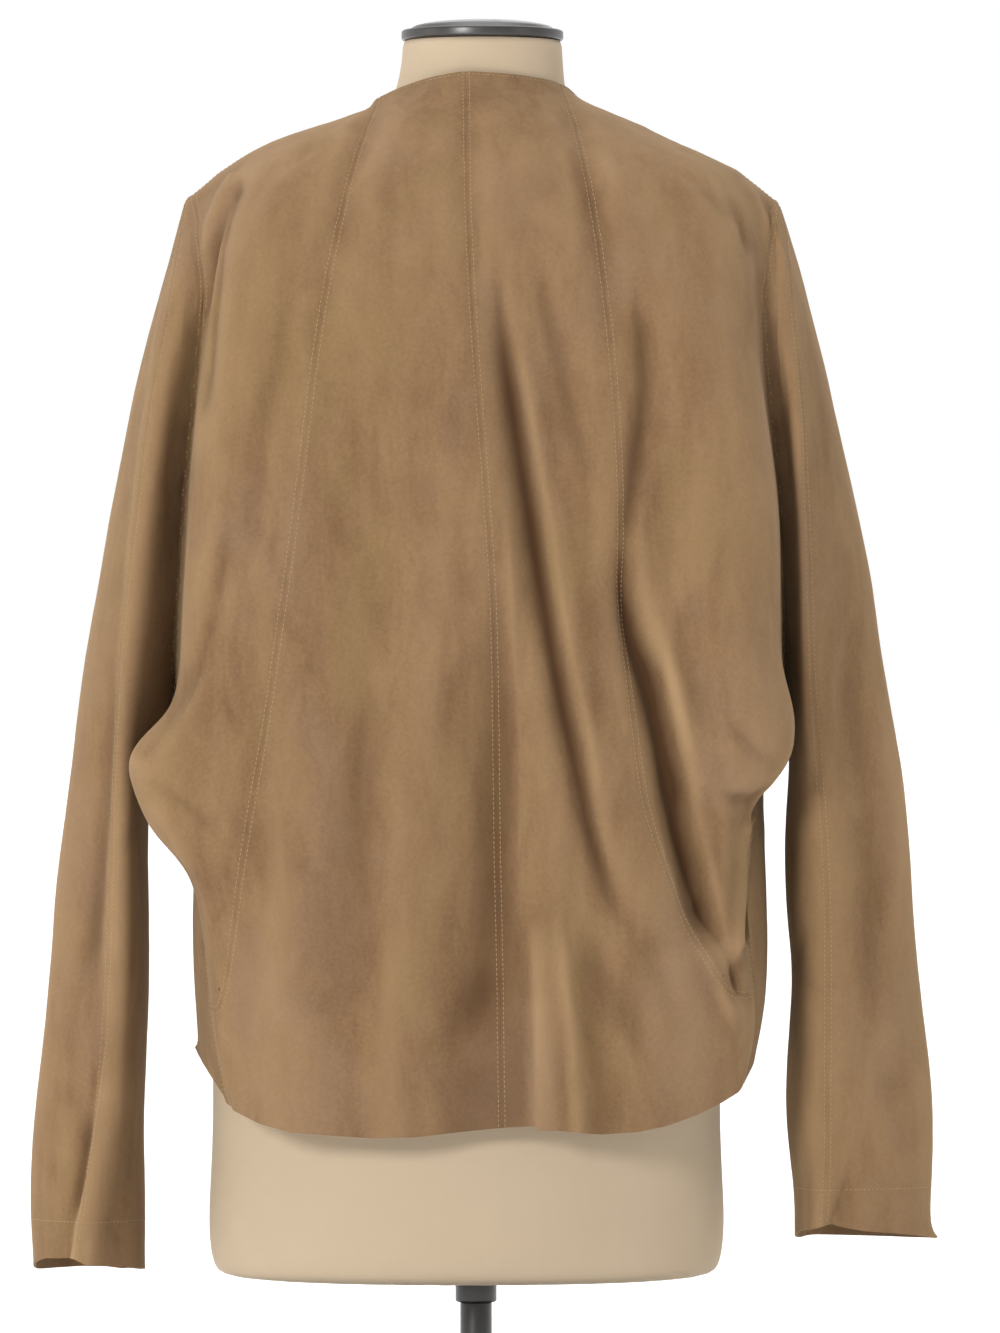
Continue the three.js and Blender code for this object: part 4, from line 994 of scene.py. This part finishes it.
def stitch_places(lines, offsets, tree, look):
    """Where the stitches of the rows beside these lines lie, as matrices."""
    size = Matrix.Diagonal((look.stitch_length / 2, look.stitch_width / 2,
                            look.stitch_width / 2 * STITCH_FLATNESS, 1))
    for points in lines:
        middles, ways = evenly_along(np.array(points), look.stitch_pitch)
        for middle, way in zip(middles, ways):
            start, way = Vector(middle), Vector(way)
            _, normal, _, _ = tree.find_nearest(start)
            side = way.cross(normal).normalized()
            for offset in offsets:
                place, up, _, _ = tree.find_nearest(start + side * offset)
                reach = (place - start).length
                if not 0.6 * abs(offset) <= reach <= 1.6 * abs(offset) + 0.5 * MM:
                    continue
                along = (way - up * way.dot(up)).normalized()
                turn = Matrix((along, up.cross(along), up)).transposed().to_4x4()
                yield Matrix.Translation(place + up * STITCH_LIFT) @ turn @ size


def sew(name, lines, offsets, tree, look, material):
    """Rows of stitches beside lines on the cloth."""
    places = list(stitch_places(lines, offsets, tree, look))
    rows = bmesh.new()
    for start in range(0, len(places), STITCH_BATCH):
        batch = bmesh.new()
        for matrix in places[start:start + STITCH_BATCH]:
            bmesh.ops.create_uvsphere(batch, u_segments=6, v_segments=4, radius=1,
                                      matrix=matrix)
        part = bpy.data.meshes.new("stitches")
        batch.to_mesh(part)
        batch.free()
        rows.from_mesh(part)
        bpy.data.meshes.remove(part)
    mesh = bpy.data.meshes.new(name)
    rows.to_mesh(mesh)
    rows.free()
    return finish_piece(link(name, mesh), material)


class JACKET_OT_panels(bpy.types.Operator):
    """Cut and sew the ten suede panels with their folds and stitching"""

    bl_idname = "jacket.panels"
    bl_label = "Suede panels and stitching"

    def execute(self, context):
        look = context.scene.jacket_look
        shell = make_shell(look)
        suede = stored_material("tan_suede", suede_material, look)
        for index, (name, *_) in enumerate(PANELS):
            mesh = thickened(cut_panel(shell, index), look.wall)
            finish_piece(link(name + "_panel", mesh), suede, [name])
        sewing = self.stitching(shell, look)
        for name, width, length, area, support in PANELS:
            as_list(sewing.get(name, []))
        bpy.data.meshes.remove(shell.mesh)
        return {"FINISHED"}

    def stitching(self, shell, look):
        """Twin rows along the seams, and one row inside the neckline and each cuff."""
        thread = stored_material("tan_thread", thread_material, look)
        tree = BVHTree.FromPolygons([Vector(p) for p in shell.points],
                                    [tuple(map(int, f)) for f in shell.faces])
        sewing = {}
        twin = (look.row_offset, -look.row_offset)
        for pair, edges in sorted(shell.seams.items(), key=lambda item: sorted(item[0])):
            first, second = (PANELS[i][0] for i in sorted(pair))
            lines = [shell.points[line] for line in ordered_lines(edges) if len(line) > 3]
            if not lines:
                continue
            piece = sew(f"{first}_to_{second}_stitching", lines, twin, tree, look, thread)
            sewing.setdefault(first, []).append(piece)
        for index, (name, *_) in enumerate(PANELS):
            edges = [edge for edge, owner in shell.rims if owner == index]
            high = [edge for edge in edges if min(shell.points[i, 2] for i in edge) > NECK_Z]
            lines = [shell.points[line] for line in ordered_lines(high) if len(line) > 3]
            if lines:
                piece = sew(f"{name}_neck_stitching", lines, twin, tree, look, thread)
                sewing.setdefault(name, []).append(piece)
        for names, height in ((LEFT_SLEEVE, look.left_cuff_row),
                              (RIGHT_SLEEVE, look.right_cuff_row)):
            middle = sleeve_middle(names[0], height)
            ring = []
            for step in range(CUFF_STEPS + 1):
                angle = math.tau * step / CUFF_STEPS
                way = Vector((math.cos(angle), math.sin(angle), 0))
                place, _, _, _ = tree.ray_cast(middle, way, SLEEVE_REACH)
                if place is not None:
                    ring.append(place)
            piece = sew(f"{names[0]}_cuff_stitching", [ring], (0.0,), tree, look, thread)
            sewing.setdefault(names[0], []).append(piece)
        return sewing


def turned_piece(name, profile, centre, steps=96):
    """A body turned about the vertical through centre, from a profile of radius and height."""
    body = bmesh.new()
    verts = [body.verts.new((radius, 0, height)) for radius, height in profile]
    edges = [body.edges.new(pair) for pair in zip(verts, verts[1:])]
    bmesh.ops.spin(body, geom=verts + edges, cent=(0, 0, 0), axis=(0, 0, 1), dvec=(0, 0, 0),
                   angle=math.tau, steps=steps, use_merge=True, use_duplicate=False)
    bmesh.ops.remove_doubles(body, verts=body.verts, dist=0.02 * MM)
    bmesh.ops.recalc_face_normals(body, faces=body.faces)
    bmesh.ops.translate(body, verts=body.verts, vec=centre)
    mesh = bpy.data.meshes.new(name)
    body.to_mesh(mesh)
    body.free()
    return link(name, mesh)


def rounded_profile(radius, height, bevel, crown=0.0):
    """Half section of a disc or rod with rounded edges and an optional crown."""
    turns = [math.radians(angle) for angle in range(0, 91, 15)]
    low = [(radius - bevel + bevel * math.sin(t), bevel - bevel * math.cos(t)) for t in turns]
    high = [(radius - bevel + bevel * math.cos(t), height - bevel + bevel * math.sin(t))
            for t in turns]
    top = [(radius * share, height + crown * (1 - share ** 2)) for share in (0.8, 0.5, 0.25, 0.0)]
    return [(0.0, 0.0)] + low + high + top


class JACKET_OT_form(bpy.types.Operator):
    """Make the dress form, its neck cap and its stand"""

    bl_idname = "jacket.form"
    bl_label = "Dress form and stand"

    def execute(self, context):
        look = context.scene.form_look
        self.torso(look)
        paint = stored_material("black_paint", paint_material, look)
        for node, bevel, crown, lip in (
            ("neck_cap", 2.5 * MM, 4.0 * MM, True),
            ("post_collar", 1.5 * MM, 0.0, False),
            ("post", 0.4 * MM, 0.0, False),
            ("round_base", 3.0 * MM, 0.0, False),
        ):
            low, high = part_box(node)
            radius = (high.x - low.x) / 2
            centre = Vector(((high.x + low.x) / 2, (high.y + low.y) / 2, low.z))
            height = high.z - low.z - crown
            profile = rounded_profile(radius, height, bevel, crown)
            if lip:
                profile = self.cap_profile(radius, high.z - low.z)
            piece = turned_piece(node + "_turned", profile, centre)
            finish_piece(piece, paint, [node])
        return {"FINISHED"}

    def cap_profile(self, radius, height):
        """A turned cap: a rim, a shallow step and a low dome."""
        rim = rounded_profile(radius, height * 0.5, 1.6 * MM)[:-4]
        step = [(radius * 0.9, height * 0.5), (radius * 0.88, height * 0.56)]
        dome = [(radius * 0.88 * math.cos(math.radians(a)),
                 height * (0.56 + 0.44 * math.sin(math.radians(a)))) for a in range(10, 91, 10)]
        return rim + step + dome[:-1] + [(0.0, height)]

    def torso(self, look):
        """The padded body under its knitted cover."""
        body = bmesh.new()
        body.from_mesh(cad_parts["form_torso"].data)
        bmesh.ops.remove_doubles(body, verts=body.verts, dist=0.01 * MM)
        bmesh.ops.join_triangles(body, faces=body.faces, angle_face_threshold=math.radians(50),
                                 angle_shape_threshold=math.radians(60))
        crease = body.edges.layers.float.new("crease_edge")
        top = max(vertex.co.z for vertex in body.verts)
        for edge in body.edges:
            if all(abs(vertex.co.z - top) < 0.1 * MM for vertex in edge.verts):
                edge[crease] = 0.7
        mesh = bpy.data.meshes.new("form_torso_cover")
        body.to_mesh(mesh)
        body.free()
        piece = link("form_torso_cover", mesh)
        rounder = piece.modifiers.new("rounder", "SUBSURF")
        rounder.levels = rounder.render_levels = 2
        cover = stored_material("cream_cover", cover_material, look)
        finish_piece(piece, cover, ["form_torso"])


class JACKET_OT_stage(bpy.types.Operator):
    """Set the floor, the soft studio light and the camera"""

    bl_idname = "jacket.stage"
    bl_label = "Stage"

    def execute(self, context):
        look = context.scene.stage_look
        self.floor(look)
        self.camera(context.scene, look)
        self.lights(context.scene, look)
        return {"FINISHED"}

    def floor(self, look):
        ground = bmesh.new()
        bmesh.ops.create_circle(ground, cap_ends=True, segments=64, radius=60)
        mesh = bpy.data.meshes.new("studio_floor")
        ground.to_mesh(mesh)
        ground.free()
        piece = link("studio_floor", mesh)
        shader = Shader("studio_floor")
        mesh.materials.append(shader.finish({
            "Base Color": tuple(look.floor), "Roughness": 0.9, "Specular IOR Level": 0.1}))
        piece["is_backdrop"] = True

    def camera(self, scene, look):
        data = bpy.data.cameras.new("camera")
        data.sensor_width = 36
        data.lens = data.sensor_width * look.eye_distance / look.view_height
        data.clip_start, data.clip_end = 0.1, 200
        eye = bpy.data.objects.new("camera", data)
        eye.location = (look.eye_x, -look.eye_distance, look.eye_height)
        eye.rotation_euler = (math.pi / 2, 0, 0)
        scene.collection.objects.link(eye)
        scene.camera = eye

    def lights(self, scene, look):
        world = bpy.data.worlds.new("studio")
        world.use_nodes = True
        nodes, wires = world.node_tree.nodes, world.node_tree.links
        background = nodes["Background"]
        way = nodes.new("ShaderNodeTexCoord")
        parts = nodes.new("ShaderNodeSeparateXYZ")
        wires.new(way.outputs["Generated"], parts.inputs[0])
        glow = nodes.new("ShaderNodeMath")
        for index, (axis, values) in enumerate((
            ("Y", (-0.35, 0.25, look.near_sky, look.sky)),
            ("Z", (0.8, 0.95, 0.0, look.top_sky)),
        )):
            share = nodes.new("ShaderNodeMapRange")
            for socket, value in zip(share.inputs[1:5], values):
                socket.default_value = value
            wires.new(parts.outputs[axis], share.inputs[0])
            wires.new(share.outputs[0], glow.inputs[index])
        wires.new(glow.outputs[0], background.inputs["Strength"])
        background.inputs["Color"].default_value = (1, 1, 1, 1)
        scene.world = world
        scene.view_settings.view_transform = "Standard"
        for name, place, size, power in (
            ("key_light", (-2.0, -3.7, 1.5), 1.0, look.key_power),
            ("left_light", (-2.8, -0.6, 1.2), 1.4, look.side_power),
            ("right_light", (2.6, -1.6, 1.4), 1.4, look.side_power),
            ("front_light", (0.5, 2.8, 2.2), 1.8, look.side_power),
        ):
            data = bpy.data.lights.new(name, "AREA")
            data.shape = "DISK"
            data.size = size
            data.energy = power
            lamp = bpy.data.objects.new(name, data)
            lamp.location = place
            aim = Vector((0, 0, 0.52)) - lamp.location
            lamp.rotation_euler = aim.to_track_quat("-Z", "Y").to_euler()
            scene.collection.objects.link(lamp)


class JACKET_PT_panel(bpy.types.Panel):
    bl_label = "Jacket"
    bl_idname = "JACKET_PT_panel"
    bl_space_type = "VIEW_3D"
    bl_region_type = "UI"
    bl_category = "Jacket"

    def draw(self, context):
        for title, group, operator in (
            ("Jacket", context.scene.jacket_look, JACKET_OT_panels),
            ("Dress form", context.scene.form_look, JACKET_OT_form),
            ("Stage", context.scene.stage_look, JACKET_OT_stage),
        ):
            box = self.layout.box()
            box.label(text=title)
            for key in group.__annotations__:
                box.prop(group, key)
            box.operator(operator.bl_idname)


CLASSES = (JacketLook, FormLook, StageLook, JACKET_OT_panels, JACKET_OT_form, JACKET_OT_stage,
           JACKET_PT_panel)
LOOKS = (("jacket_look", JacketLook), ("form_look", FormLook), ("stage_look", StageLook))


def register():
    for kind in CLASSES:
        bpy.utils.register_class(kind)
    for name, kind in LOOKS:
        setattr(bpy.types.Scene, name, bpy.props.PointerProperty(type=kind))


def unregister():
    for name, _ in LOOKS:
        delattr(bpy.types.Scene, name)
    for kind in reversed(CLASSES):
        bpy.utils.unregister_class(kind)


def main():
    register()
    bpy.ops.jacket.stage()
    bpy.ops.jacket.form()
    bpy.ops.jacket.panels()
    sizes = {"cad": CAD_BOX, "visual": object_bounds()}
    lists = {name: [list(corner) for corner in box] for name, box in sizes.items()}


if __name__ == "__main__":
    main()
